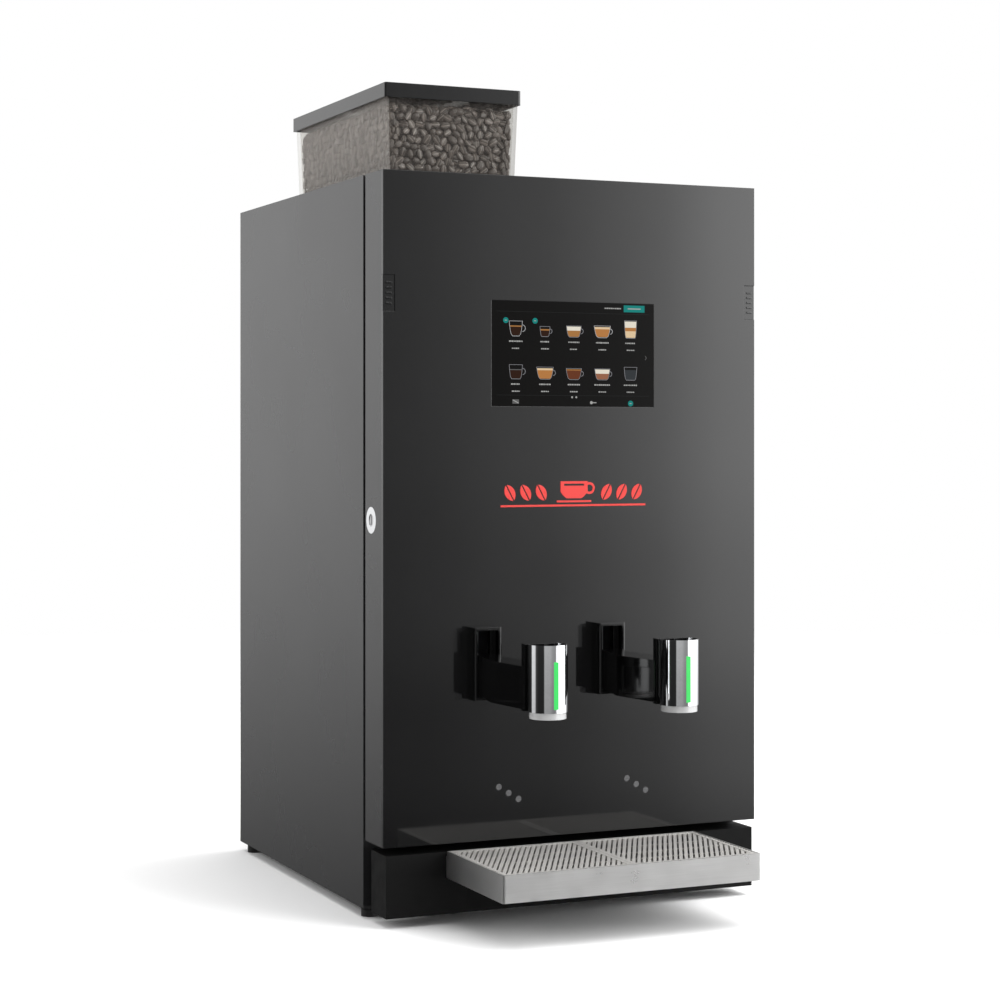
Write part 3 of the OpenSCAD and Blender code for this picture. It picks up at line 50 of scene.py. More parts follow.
class Tree:
    """A material's or a world's node tree, built by short calls."""

    def __init__(self, owner):
        owner.use_nodes = True
        self.tree = owner.node_tree
        self.tree.nodes.clear()

    def add(self, kind, values=None, **settings):
        """A node with these settings, and these values or links on its inputs."""
        node = self.tree.nodes.new("ShaderNode" + kind)
        for name, value in settings.items():
            setattr(node, name, value)
        for name, value in (values or {}).items():
            self.put(node.inputs[name], value)
        return node

    def put(self, socket, value):
        if isinstance(value, bpy.types.NodeSocket):
            self.tree.links.new(value, socket)
        elif isinstance(value, (tuple, list)) and len(value) == 3 and len(socket.default_value) == 4:
            socket.default_value = (*value, 1)
        else:
            socket.default_value = value

    def math(self, operation, a, b=0.0, clamp=False):
        values = {0: a, 1: b}
        return self.add("Math", values, operation=operation, use_clamp=clamp).outputs[0]

    def place(self, stretch=(1, 1, 1)):
        """The point on the piece in its own body's frame, stretched along each axis."""
        spot = self.add("TexCoord").outputs["Object"]
        return self.add("Mapping", {"Vector": spot, "Scale": stretch}).outputs[0]

    def noise(self, scale, detail=3, rough=0.5, stretch=(1, 1, 1)):
        values = {"Vector": self.place(stretch), "Scale": scale, "Detail": detail, "Roughness": rough}
        return self.add("TexNoise", values).outputs["Fac"]

    def spread(self, fac, low, high, start=0.3, end=0.7):
        """Maps fac from start..end to low..high, which are numbers."""
        values = {"Value": fac, "From Min": start, "From Max": end, "To Min": low, "To Max": high}
        return self.add("MapRange", values).outputs[0]

    def blend(self, fac, a, b, mode="MIX"):
        node = self.add("Mix", data_type="RGBA", blend_type=mode)
        self.put(node.inputs[0], fac)
        self.put(node.inputs[6], a)
        self.put(node.inputs[7], b)
        return node.outputs[2]

    def relief(self, layers, edge=0.0):
        """A normal with each (height, depth in metres) laid over the last, over rounded edges."""
        normal = self.add("Bevel", {"Radius": edge}, samples=3).outputs[0] if edge else None
        for height, depth in layers:
            node = self.add("Bump", {"Strength": 1.0, "Distance": depth, "Height": height})
            if normal is not None:
                self.put(node.inputs["Normal"], normal)
            normal = node.outputs[0]
        return normal

    def surface(self, colour, rough, normal=None, **sockets):
        """The Principled shader, as the material's output. Names with spaces are given with _."""
        values = {"Base Color": colour, "Roughness": rough}
        if normal is not None:
            values["Normal"] = normal
        for name, value in sockets.items():
            values[name.replace("_", " ")] = value
        shader = self.add("BsdfPrincipled", values).outputs[0]
        self.output(shader)
        return shader

    def output(self, shader):
        """Joins a shader to the material's output."""
        self.add("OutputMaterial", {"Surface": shader})


def material(name):
    made = bpy.data.materials.new("look_" + name)
    return made, Tree(made)


def shade(colour, share):
    return tuple(channel * share for channel in colour)


# ---------- families of materials ----------

def powder_coat(name, colour, rough=0.42, texture=0.00001, specular=0.5):
    """Baked powder paint on sheet steel: a fine orange peel, faint mottling and rounded edges."""
    made, t = material(name)
    peel = t.noise(900, 2, 0.6)
    cloud = t.noise(14, 4, 0.6)
    tone = t.blend(cloud, shade(colour, 0.9), shade(colour, 1.1))
    worn = t.spread(t.noise(6, 3), rough - 0.015, rough + 0.02)
    t.surface(tone, worn, t.relief([(peel, texture)], edge=0.0008), Specular_IOR_Level=specular)
    return made


def moulded(name, colour, rough=0.45, grain=1600, depth=0.00003, specular=0.5):
    """Injection-moulded plastic with a fine spark-eroded grain."""
    made, t = material(name)
    cells = t.add("TexVoronoi", {"Vector": t.place(), "Scale": grain}).outputs["Distance"]
    cloud = t.noise(30, 3)
    tone = t.blend(cloud, shade(colour, 0.85), shade(colour, 1.12))
    worn = t.spread(t.noise(70, 4), rough - 0.05, rough + 0.08)
    t.surface(tone, worn, t.relief([(cells, depth)], edge=0.0006), Specular_IOR_Level=specular)
    return made


def gloss_black(name, colour=(0.006, 0.006, 0.0065), rough=0.05, lacquer=0.6):
    """Polished black moulding with hairline scuffs and a clear lacquer."""
    made, t = material(name)
    wave = t.noise(7, 2)
    scuff = t.noise(260, 2, 0.7, stretch=(1, 1, 0.08))
    tone = t.blend(t.noise(40, 3), shade(colour, 0.7), shade(colour, 1.5))
    worn = t.spread(scuff, rough, rough + 0.06, 0.45, 0.75)
    normal = t.relief([(wave, 0.00025), (scuff, 0.0000008)], edge=0.0008)
    t.surface(tone, worn, normal, Coat_Weight=lacquer, Coat_Roughness=0.03)
    return made


def metal(name, colour, rough=0.3, brush=(1, 1, 1), pitch=500, depth=0.00001, metallic=1.0,
          edge=0.0005):
    """Metal with a grain drawn out along the axis whose brush share is small."""
    made, t = material(name)
    grain = t.noise(pitch, 3, 0.6, stretch=brush)
    cloud = t.noise(18, 4, 0.6)
    tone = t.blend(grain, shade(colour, 0.88), shade(colour, 1.08))
    tone = t.blend(t.spread(cloud, 0.0, 0.25), tone, shade(colour, 0.8))
    worn = t.spread(t.noise(40, 4), rough - 0.04, rough + 0.08)
    t.surface(tone, worn, t.relief([(grain, depth)], edge=edge), Metallic=metallic)
    return made


def zinc_plate():
    """Bright zinc plating with its crystal spangle."""
    made, t = material("zinc")
    flakes = t.add("TexVoronoi", {"Vector": t.place(), "Scale": 120}).outputs["Color"]
    bright = t.add("SeparateColor", {"Color": flakes}).outputs[0]
    tone = t.blend(bright, (0.50, 0.51, 0.53), (0.66, 0.67, 0.69))
    worn = t.spread(bright, 0.30, 0.46, 0.0, 1.0)
    t.surface(tone, worn, t.relief([(t.noise(300, 3), 0.00001)], edge=0.0005), Metallic=1.0)
    return made


RING_H = 6.4 * MM                                # height of the ring under an outlet's chrome cover


def chrome_plate(name="chrome", ring_top=None):
    """Polished chrome with a barely visible ripple, and a satin ring below ring_top where given."""
    made, t = material(name)
    ripple = t.noise(60, 2)
    haze = t.noise(500, 3)
    tone = t.blend(haze, (0.80, 0.81, 0.83), (0.90, 0.91, 0.92))
    worn = t.spread(haze, 0.035, 0.075)
    metallic = 1.0
    if ring_top is not None:
        height = t.add("SeparateXYZ", {0: t.place()}).outputs["Z"]
        ring = t.math("LESS_THAN", height, ring_top)
        tone = t.blend(ring, tone, (0.46, 0.46, 0.46))
        worn = t.math("ADD", worn, t.math("MULTIPLY", ring, 0.3))
        metallic = t.math("SUBTRACT", 1.0, t.math("MULTIPLY", ring, 0.75))
    t.surface(tone, worn, t.relief([(ripple, 0.00003)]), Metallic=metallic)
    return made


def back_printed_glass():
    """Float glass with a black print behind it: almost a mirror, with a faint film of use."""
    made, t = material("door_glass")
    film = t.noise(11, 5, 0.62)
    ream = t.noise(3.2, 2, stretch=(1, 1, 0.5))
    tone = t.blend(film, (0.0028, 0.0028, 0.0029), (0.0048, 0.0048, 0.0050))
    worn = t.spread(film, 0.035, 0.075)
    t.surface(tone, worn, t.relief([(ream, 0.00012)], edge=0.0009), IOR=1.52)
    return made


def smoked_window():
    """Smoked infrared window with a lens ring under it."""
    made, t = material("sensor_window")
    rings = t.add("TexWave", {"Vector": t.place(), "Scale": 300, "Distortion": 1.5}, wave_type="RINGS")
    tone = t.blend(rings.outputs["Fac"], (0.060, 0.060, 0.062), (0.115, 0.115, 0.118))
    t.surface(tone, t.spread(t.noise(200), 0.22, 0.34), t.relief([(t.noise(400), 0.00001)], edge=0.0004))
    return made


def clear_plastic():
    """Clear hopper plastic: see-through with a grazing mirror, a light haze and fine scratches."""
    made, t = material("clear_plastic")
    scratch = t.noise(700, 3, 0.7, stretch=(1, 1, 0.05))
    dust = t.spread(t.noise(90, 5, 0.7), 0.0, 1.0, 0.35, 0.75)
    seen = t.add("BsdfTransparent", {"Color": (0.95, 0.95, 0.94)}).outputs[0]
    body = t.add("BsdfPrincipled", {
        "Base Color": t.blend(dust, (0.40, 0.365, 0.34), (0.54, 0.49, 0.455)),
        "Roughness": t.spread(scratch, 0.05, 0.16, 0.4, 0.7),
        "Normal": t.relief([(scratch, 0.000002)], edge=0.0008),
    }).outputs[0]
    glance = t.add("Fresnel", {"IOR": 1.45}).outputs["Fac"]
    share = t.math("ADD", t.math("MULTIPLY", glance, 0.36), t.spread(dust, 0.02, 0.05, 0, 1), clamp=True)
    t.output(t.add("MixShader", {0: share, 1: seen, 2: body}).outputs[0])
    return made


def lit(name, colour, strength, dark=(0.02, 0.02, 0.02)):
    """A lit part whose light is slightly uneven."""
    made, t = material(name)
    glow = t.blend(t.noise(90, 2), shade(colour, 0.85), colour)
    t.surface(dark, 0.2, t.relief([(t.noise(300), 0.00001)]), Emission_Color=glow,
              Emission_Strength=strength)
    return made


def display():
    """The dark face of a lit display behind its touch glass, with its fine pixel grid."""
    made, t = material("display")
    grid = t.add("TexBrick", {
        "Vector": t.place(),
        "Scale": 2200.0,
        "Color1": (0.0018, 0.0018, 0.0018),
        "Color2": (0.0024, 0.0023, 0.0022),
        "Mortar": (0.0008, 0.0008, 0.0008),
    })
    t.surface(grid.outputs["Color"], t.spread(t.noise(9, 5), 0.05, 0.10), t.relief([(t.noise(5), 0.0001)]),
              Emission_Color=(0.004, 0.0036, 0.0034), Emission_Strength=0.6, Specular_IOR_Level=0.06)
    return made


def menu_print():
    """Lit shapes on the display. Each shape's colour is stored on its faces."""
    made, t = material("menu")
    tint = t.add("Attribute", attribute_name="tint").outputs["Color"]
    fine = t.spread(t.noise(2500, 2), 0.86, 1.0)
    glow = t.blend(1.0, tint, t.add("CombineXYZ", {0: fine, 1: fine, 2: fine}).outputs[0], "MULTIPLY")
    t.surface(t.blend(0.95, tint, (0, 0, 0)), 0.2, None, Emission_Color=glow, Emission_Strength=0.85,
              Specular_IOR_Level=0.06)
    return made


def roasted_bean():
    """Roasted coffee: dark brown with a lighter crease, partly chaff and partly a painted highlight along
    the crease, a wrinkled and oily skin.
    """
    made, t = material("coffee_bean")
    roast = t.add("Attribute", attribute_name="roast").outputs["Fac"]
    chaff_and_highlight = t.add("Attribute", attribute_name="crease").outputs["Fac"]
    skin = t.noise(900, 4, 0.6)
    tone = t.blend(roast, (0.052, 0.041, 0.035), (0.135, 0.110, 0.096))
    tone = t.blend(t.spread(skin, 0.0, 0.3), tone, (0.028, 0.021, 0.018))
    # The crease's lighter tone is partly chaff and partly a painted highlight along the crease.
    tone = t.blend(t.spread(chaff_and_highlight, 0.0, 0.75, 0.55, 1.0), tone, (0.36, 0.31, 0.27))
    t.surface(tone, t.spread(skin, 0.28, 0.50), t.relief([(skin, 0.00005)]), Coat_Weight=0.5,
              Coat_Roughness=0.25)
    return made


def rubber():
    made, t = material("rubber")
    dust = t.spread(t.noise(220, 4, 0.7), 0.0, 1.0, 0.45, 0.8)
    tone = t.blend(dust, (0.012, 0.012, 0.012), (0.030, 0.029, 0.028))
    t.surface(tone, t.spread(dust, 0.62, 0.85, 0, 1), t.relief([(t.noise(1500), 0.00004)], edge=0.0006))
    return made


def silicone_hose():
    """Milky silicone that light goes a little way into."""
    made, t = material("hose")
    tone = t.blend(t.noise(60, 3), (0.50, 0.47, 0.41), (0.66, 0.62, 0.55))
    t.surface(tone, t.spread(t.noise(300, 3), 0.34, 0.5), t.relief([(t.noise(900), 0.00003)]),
              Subsurface_Weight=0.25, Subsurface_Scale=0.002)
    return made


def foam_lagging():
    """Closed-cell foam lagging wrapped round the boiler."""
    made, t = material("lagging")
    cells = t.add("TexVoronoi", {"Vector": t.place(), "Scale": 420}).outputs["Distance"]
    tone = t.blend(cells, (0.030, 0.030, 0.032), (0.085, 0.085, 0.088))
    t.surface(tone, t.spread(cells, 0.75, 0.95, 0, 1), t.relief([(cells, 0.0004)], edge=0.001))
    return made


LOOKS = {
    "case_metal": powder_coat("case_metal", (0.014, 0.014, 0.0145), 0.27),
    "zinc": zinc_plate(),
    "steel": metal("steel", (0.62, 0.62, 0.63), 0.30, brush=(0.03, 1, 1), pitch=900),
    "grid": metal("grid", (0.66, 0.645, 0.62), 0.42, brush=(0.2, 1, 1), pitch=700, metallic=0.55),
    "chrome": chrome_plate(),
    "door_glass": back_printed_glass(),
    "black_gloss": gloss_black("black_gloss", (0.0014, 0.0014, 0.0015), lacquer=0.0),
    "black_plastic": moulded("black_plastic", (0.010, 0.010, 0.0105), 0.40),
    "screen": display(),
    "print_red": moulded("print_red", (0.62, 0.028, 0.022), 0.5, grain=2500, depth=0.00001),
    "sensor_grey": smoked_window(),
    "light_green": lit("light_green", (0.035, 0.72, 0.12), 1.0, dark=(0.01, 0.08, 0.02)),
    "clear": clear_plastic(),
    "beans": roasted_bean(),
    "rubber": rubber(),
    "cast": metal("cast", (0.55, 0.56, 0.57), 0.5, pitch=260, depth=0.00008),
    "motor": powder_coat("motor", (0.05, 0.052, 0.055), 0.45),
    "food_white": moulded("food_white", (0.70, 0.68, 0.62), 0.38),
    "whip_blue": moulded("whip_blue", (0.03, 0.13, 0.42), 0.35),
    "hose": silicone_hose(),
    "jacket": foam_lagging(),
    "brass": metal("brass", (0.72, 0.52, 0.22), 0.28, brush=(1, 0.1, 1), pitch=700),
    "grey_plastic": moulded("grey_plastic", (0.11, 0.115, 0.12), 0.45),
    "switch_red": moulded("switch_red", (0.42, 0.015, 0.012), 0.25, depth=0.00001),
}


HEAD_CHROME = chrome_plate("head_chrome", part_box("outlet_cover_left")[0].z + RING_H)

# Nodes whose finish differs from the other nodes of their material
OWN_LOOKS = {
    "hopper_lid": gloss_black("lid", (0.0035, 0.0035, 0.0037), rough=0.07, lacquer=0.0),
    "drip_tray": metal("tray", (0.58, 0.577, 0.572), 0.30, brush=(0.03, 1, 1), pitch=900, metallic=0.9,
                       edge=0.0),
    "plinth": moulded("plinth", (0.0055, 0.0055, 0.0055), 0.6, specular=0.12),
    "edge_clips": LOOKS["door_glass"],
    "outlet_cover_left": HEAD_CHROME,
    "outlet_cover_right": HEAD_CHROME,
}


def dress_nodes():
    """Gives every CAD node its own look where it has one, or the look of its material slot."""
    for title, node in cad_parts.items():
        for slot in node.material_slots:
            name = slot.material.name.split(".")[0] if slot.material else ""
            slot.material = OWN_LOOKS.get(title) or LOOKS[name]


# ---------- meshes built here ----------

def mesh_piece(name, points, faces, look, body):
    """A mesh as a piece that rides on a body."""
    mesh = bpy.data.meshes.new(name)
    mesh.from_pydata(points, [], faces)
    mesh.materials.append(look)
    mesh.update()
    piece = bpy.data.objects.new(name, mesh)
    bpy.context.scene.collection.objects.link(piece)
    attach(piece, body)
    return piece


# ---------- coffee beans ----------

BEAN = (5.2 * MM, 3.7 * MM, 2.7 * MM)      # half length, half width, half thickness
BEAN_RINGS = 6
BEAN_SIDES = 16


def bean_shape():
    """Points, faces and crease shares of one bean: a domed back and a flatter face with a crease."""
    points, crease = [], []
    for ring in range(1, BEAN_RINGS):
        along = math.cos(math.pi * ring / BEAN_RINGS)
        round_ = math.sin(math.pi * ring / BEAN_RINGS) ** 0.8
        for side in range(BEAN_SIDES):
            turn = 2 * math.pi * side / BEAN_SIDES
            across, up = math.cos(turn), math.sin(turn)
            in_crease = up < -0.99
            lift = up * (1.0 if up > 0 else 0.62)
            if in_crease:
                lift *= 0.45
            points.append(Vector((along * BEAN[0], across * round_ * BEAN[1], lift * round_ * BEAN[2])))
            crease.append(1.0 if in_crease else 0.0)
    tips = [len(points), len(points) + 1]
    points += [Vector((BEAN[0], 0, 0)), Vector((-BEAN[0], 0, 0))]
    crease += [0.2, 0.2]
    faces = []
    for ring in range(BEAN_RINGS - 2):
        for side in range(BEAN_SIDES):
            a, b = ring * BEAN_SIDES + side, ring * BEAN_SIDES + (side + 1) % BEAN_SIDES
            faces.append((a, a + BEAN_SIDES, b + BEAN_SIDES, b))
    last = (BEAN_RINGS - 2) * BEAN_SIDES
    for side in range(BEAN_SIDES):
        nxt = (side + 1) % BEAN_SIDES
        faces.append((tips[0], side, nxt))
        faces.append((tips[1], last + nxt, last + side))
    return points, faces, crease


def bean_heap():
    """The hopper's filling: beans packed against its walls and heaped at the top, round a core in a dark
    bean tone that is painted shade in the gaps between the beans.
    """
    rng = random.Random(7)
    low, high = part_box("beans")
    corners = [v.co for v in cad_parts["beans"].data.vertices]
    foot = [c for c in corners if c.z < low.z + 1e-4]
    lean = min(c.x for c in foot) - low.x
    clear = 0.25 * MM
    deep = high.z - low.z

    def room(z):
        """How far the hopper's sides stand in at this height."""
        return lean * (high.z - z) / deep + clear

    shape, shape_faces, shape_crease = bean_shape()
    points, faces, crease, roast = [], [], [], []

    def drop(at, facing):
        """One bean at a point, roughly flat against the side it faces."""
        tilt = Euler((rng.gauss(0, 0.22), rng.gauss(0, 0.22), rng.uniform(0, 2 * math.pi))).to_matrix()
        flip = Matrix.Rotation(math.pi if rng.random() < 0.7 else 0, 3, "X")
        turn = facing.to_track_quat("Z", "Y").to_matrix() @ tilt @ flip
        size = rng.uniform(0.86, 1.12)
        first = len(points)
        tone = min(1, max(0, rng.gauss(0.45, 0.28)))
        for p, c in zip(shape, shape_crease):
            q = at + turn @ (p * size)
            z = min(max(q.z, low.z + clear), high.z)
            inset = room(z)
            points.append((min(max(q.x, low.x + inset), high.x - inset),
                           min(max(q.y, low.y + inset), high.y - inset), z))
            crease.append(c)
            roast.append(tone)
        faces.extend(tuple(first + i for i in face) for face in shape_faces)

    pitch_u, pitch_v, jitter = 8.8 * MM, 7.2 * MM, 1.3 * MM
    sides = [
        (Vector((0, -1, 0)), Vector((1, 0, 0)), Vector((low.x, low.y, low.z)), high.x - low.x),
        (Vector((0, 1, 0)), Vector((1, 0, 0)), Vector((low.x, high.y, low.z)), high.x - low.x),
        (Vector((-1, 0, 0)), Vector((0, 1, 0)), Vector((low.x, low.y, low.z)), high.y - low.y),
        (Vector((1, 0, 0)), Vector((0, 1, 0)), Vector((high.x, low.y, low.z)), high.y - low.y),
    ]
    for layer, into in enumerate((5.6 * MM, 2.6 * MM)):
        for facing, along, start, length in sides:
            rows = int((deep - 4 * MM) / pitch_v)
            for row in range(rows + 1):
                for column in range(int((length - 4 * MM) / pitch_u) + 1):
                    stagger = 0.5 * ((row + layer) % 2)
                    u = 3 * MM + (column + stagger) * pitch_u + rng.uniform(-jitter, jitter)
                    v = 3 * MM + row * pitch_v + rng.uniform(-jitter, jitter)
                    depth = into + rng.uniform(-1, 1) * MM + room(low.z + v)
                    if u < length - 2 * MM:
                        drop(start + along * u + Vector((0, 0, v)) - facing * depth, facing)
    top = Vector((0, 0, 1))
    for column in range(int((high.x - low.x - 10 * MM) / pitch_u) + 1):
        for row in range(int((high.y - low.y - 10 * MM) / pitch_v) + 1):
            x = low.x + 6 * MM + column * pitch_u + rng.uniform(-jitter, jitter)
            y = low.y + 6 * MM + row * pitch_v + rng.uniform(-jitter, jitter)
            drop(Vector((x, y, high.z - 3.2 * MM + rng.uniform(-1, 0.6) * MM)), top)

    core_faces(points, faces, low, high, room)
    extra = len(points) - len(crease)
    crease += [0.0] * extra
    # The core's points get a dark bean tone: painted shade in the gaps between the outer beans.
    roast += [0.1] * extra
    heap = mesh_piece("bean_heap", points, faces, LOOKS["beans"], "hopper")
    for name, values in (("crease", crease), ("roast", roast)):
        layer = heap.data.attributes.new(name, "FLOAT", "POINT")
        layer.data.foreach_set("value", values)
    heap.data.polygons.foreach_set("use_smooth", [True] * len(faces))
    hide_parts("beans")


def core_faces(points, faces, low, high, room):
    """A rough closed core behind the outer beans, so that no light comes through the heap."""
    depth = 7.5 * MM
    steps = (9, 18, 5)
    rng = random.Random(3)
    index = {}

    def corner(i, j, k):
        if (i, j, k) not in index:
            z = low.z + 4 * MM + (high.z - low.z - 9 * MM) * k / steps[2]
            inset = room(z) + depth
            x = low.x + inset + (high.x - low.x - 2 * inset) * i / steps[0]
            y = low.y + inset + (high.y - low.y - 2 * inset) * j / steps[1]
            index[i, j, k] = len(points)
            points.append(tuple(c + rng.uniform(-1, 1) * MM for c in (x, y, z)))
        return index[i, j, k]

    def quad(a, b, c, d):
        faces.append(tuple(corner(*p) for p in (a, b, c, d)))

    nx, ny, nz = steps
    for i in range(nx):
        for j in range(ny):
            quad((i, j, 0), (i, j + 1, 0), (i + 1, j + 1, 0), (i + 1, j, 0))
            quad((i, j, nz), (i + 1, j, nz), (i + 1, j + 1, nz), (i, j + 1, nz))
        for k in range(nz):
            quad((i, 0, k), (i + 1, 0, k), (i + 1, 0, k + 1), (i, 0, k + 1))
            quad((i, ny, k), (i, ny, k + 1), (i + 1, ny, k + 1), (i + 1, ny, k))
    for j in range(ny):
        for k in range(nz):
            quad((0, j, k), (0, j, k + 1), (0, j + 1, k + 1), (0, j + 1, k))
            quad((nx, j, k), (nx, j + 1, k), (nx, j + 1, k + 1), (nx, j, k + 1))


# ---------- the drink menu on the display ----------

PRINT_T = 0.08 * MM
SCREEN_RIM = 10 * MM                             # dark rim of the display round its lit face


class Menu:
    """Thin lit shapes on the display, drawn in millimetres from its upper left corner."""

    def __init__(self, left, top, front):
        self.left, self.top, self.front = left, top, front
        self.points, self.faces, self.tints = [], [], []

    def shape(self, outline, tint, level=0):
        """A closed outline, counter-clockwise as seen, as a thin plate. Level lays it over others."""
        first, n = len(self.points), len(outline)
        near = self.front - level * 0.02 * MM
        for y in (near, self.front + PRINT_T):
            self.points += [(self.left + u * MM, y, self.top - v * MM) for u, v in outline]
        self.faces.append(tuple(first + i for i in range(n)))
        self.faces.append(tuple(first + n + i for i in reversed(range(n))))
        for i in range(n):
            j = (i + 1) % n
            self.faces.append((first + i, first + n + i, first + n + j, first + j))
        self.tints += [tint] * (n + 2)

    def bar(self, u, v, width, height, tint, level=0):
        """A bar centred on u, v."""
        a, b = width / 2, height / 2
        self.shape([(u - a, v + b), (u + a, v + b), (u + a, v - b), (u - a, v - b)], tint, level)

    def disc(self, u, v, radius, tint, level=0, squash=1.0, sides=20):
        turns = [2 * math.pi * i / sides for i in range(sides)]
        self.shape([(u + radius * math.cos(a), v - radius * squash * math.sin(a)) for a in turns], tint,
                   level)

    def stroke(self, path, width, tint, level=0):
        """A line of constant width through the path."""
        for (u0, v0), (u1, v1) in zip(path, path[1:]):
            length = math.hypot(u1 - u0, v1 - v0)
            du, dv = (v1 - v0) / length * width / 2, -(u1 - u0) / length * width / 2
            self.shape([(u0 - du, v0 - dv), (u1 - du, v1 - dv), (u1 + du, v1 + dv), (u0 + du, v0 + dv)],
                       tint, level)

    def cup(self, u, v, top, bottom, height, layers, glass=(0.34, 0.34, 0.36), handle=True):
        """A glass cup: its filling in layers from the bottom, its outline, rim, handle and saucer."""
        def half(share):
            """Half the cup's width at a share of its height, drawn in at the foot."""
            return (bottom + (top - bottom) * share ** 0.42) / 2

        foot = v + height / 2
        for (start, end, tint), level in zip(layers, range(len(layers))):
            steps = [start + (end - start) * i / 4 for i in range(5)]
            right = [(u + half(s) - 0.35, foot - s * height) for s in steps]
            left = [(u - half(s) + 0.35, foot - s * height) for s in reversed(steps)]
            self.shape(left[-1:] + right + left[:-1], tint, 1 + level)
        walls = [i / 8 for i in range(9)]
        for side in (-1, 1):
            self.stroke([(u + side * half(s), foot - s * height) for s in walls], 0.35, glass, 6)
        self.stroke([(u - half(1), foot - height), (u + half(1), foot - height)], 0.35, glass, 6)
        self.stroke([(u - half(0), foot), (u + half(0), foot)], 0.45, glass, 6)
        if handle:
            reach = height * 0.26
            turns = [math.radians(a) for a in range(-80, 81, 20)]
            base = u + half(0.6)
            self.stroke([(base + reach * math.cos(a), v - 0.4 - reach * 0.9 * math.sin(a)) for a in turns],
                        0.45, glass, 6)


WHITE = (0.42, 0.42, 0.41)
GREY = (0.13, 0.13, 0.13)
RULE = (0.020, 0.021, 0.021)
TEAL = (0.006, 0.240, 0.215)
COFFEE = (0.030, 0.011, 0.005)
CREMA = (0.42, 0.19, 0.055)
LATTE = (0.50, 0.21, 0.060)
CREAM = (0.80, 0.60, 0.37)
FOAM = (0.86, 0.80, 0.68)
COCOA = (0.145, 0.040, 0.015)
TEA = (0.34, 0.14, 0.075)
WATER = (0.035, 0.040, 0.045)
GLASS = (0.30, 0.30, 0.32)
PALE_GLASS = (0.55, 0.55, 0.56)

# width at the top, width at the foot, height, filling from the bottom as (start, end, colour), glass
DRINKS = [
    [(14.4, 7.0, 14.8, [(0.06, 0.62, COFFEE), (0.62, 0.70, CREMA)], PALE_GLASS),
     (11.0, 7.0, 10.0, [(0.05, 0.60, COFFEE), (0.60, 0.74, CREMA)], GLASS),
     (16.3, 9.4, 11.2, [(0.04, 0.58, CREMA), (0.58, 0.94, FOAM)], GLASS),
     (18.3, 9.0, 11.8, [(0.06, 0.72, LATTE), (0.72, 0.90, CREAM)], PALE_GLASS),
     (13.7, 10.0, 17.7, [(0.03, 0.40, CREAM), (0.40, 0.60, LATTE), (0.60, 0.95, FOAM)], GLASS)],
    [(14.4, 9.0, 14.0, [(0.04, 0.62, COFFEE), (0.62, 0.68, GREY)], GLASS),
     (18.3, 9.6, 12.0, [(0.05, 0.74, LATTE), (0.74, 0.90, CREAM)], GLASS),
     (17.0, 9.4, 11.0, [(0.05, 0.82, COCOA), (0.82, 0.92, CREMA)], GLASS),
     (17.0, 9.6, 11.0, [(0.05, 0.56, TEA), (0.56, 0.94, FOAM)], GLASS),
     (14.4, 9.6, 13.0, [(0.03, 0.78, WATER)], GLASS)],
]
COLUMN_1, COLUMN_PITCH, ROWS = 26.1, 31.7, (29.0, 71.2)
LABEL_DOWN, PRICE_DOWN, FOOT_DOWN = 9.7 + 1.2, 17.9, 5.8
HEAD_LINE, FOOT_LINE = 10.6, 93.0
BUTTON = (157.0, 5.2, 23.5, 6.9)                 # middle across and down, width, height
MARK_ASIDE, MARK_UP, MARK_R = 10.8, 9.6, 2.9     # the round mark beside the first two drinks
PLAIN_COLUMN = 4                                 # the column whose glasses have no handle


def dashes(menu, u, v, width, height, tint, rng):
    """A row of short dashes that stands for a word."""
    at = u - width / 2
    while at < u + width / 2 - 0.6:
        long = min(rng.uniform(0.9, 2.4), u + width / 2 - at)
        menu.bar(at + long / 2, v, long, height * rng.uniform(0.75, 1.0), tint, 1)
        at += long + 0.45


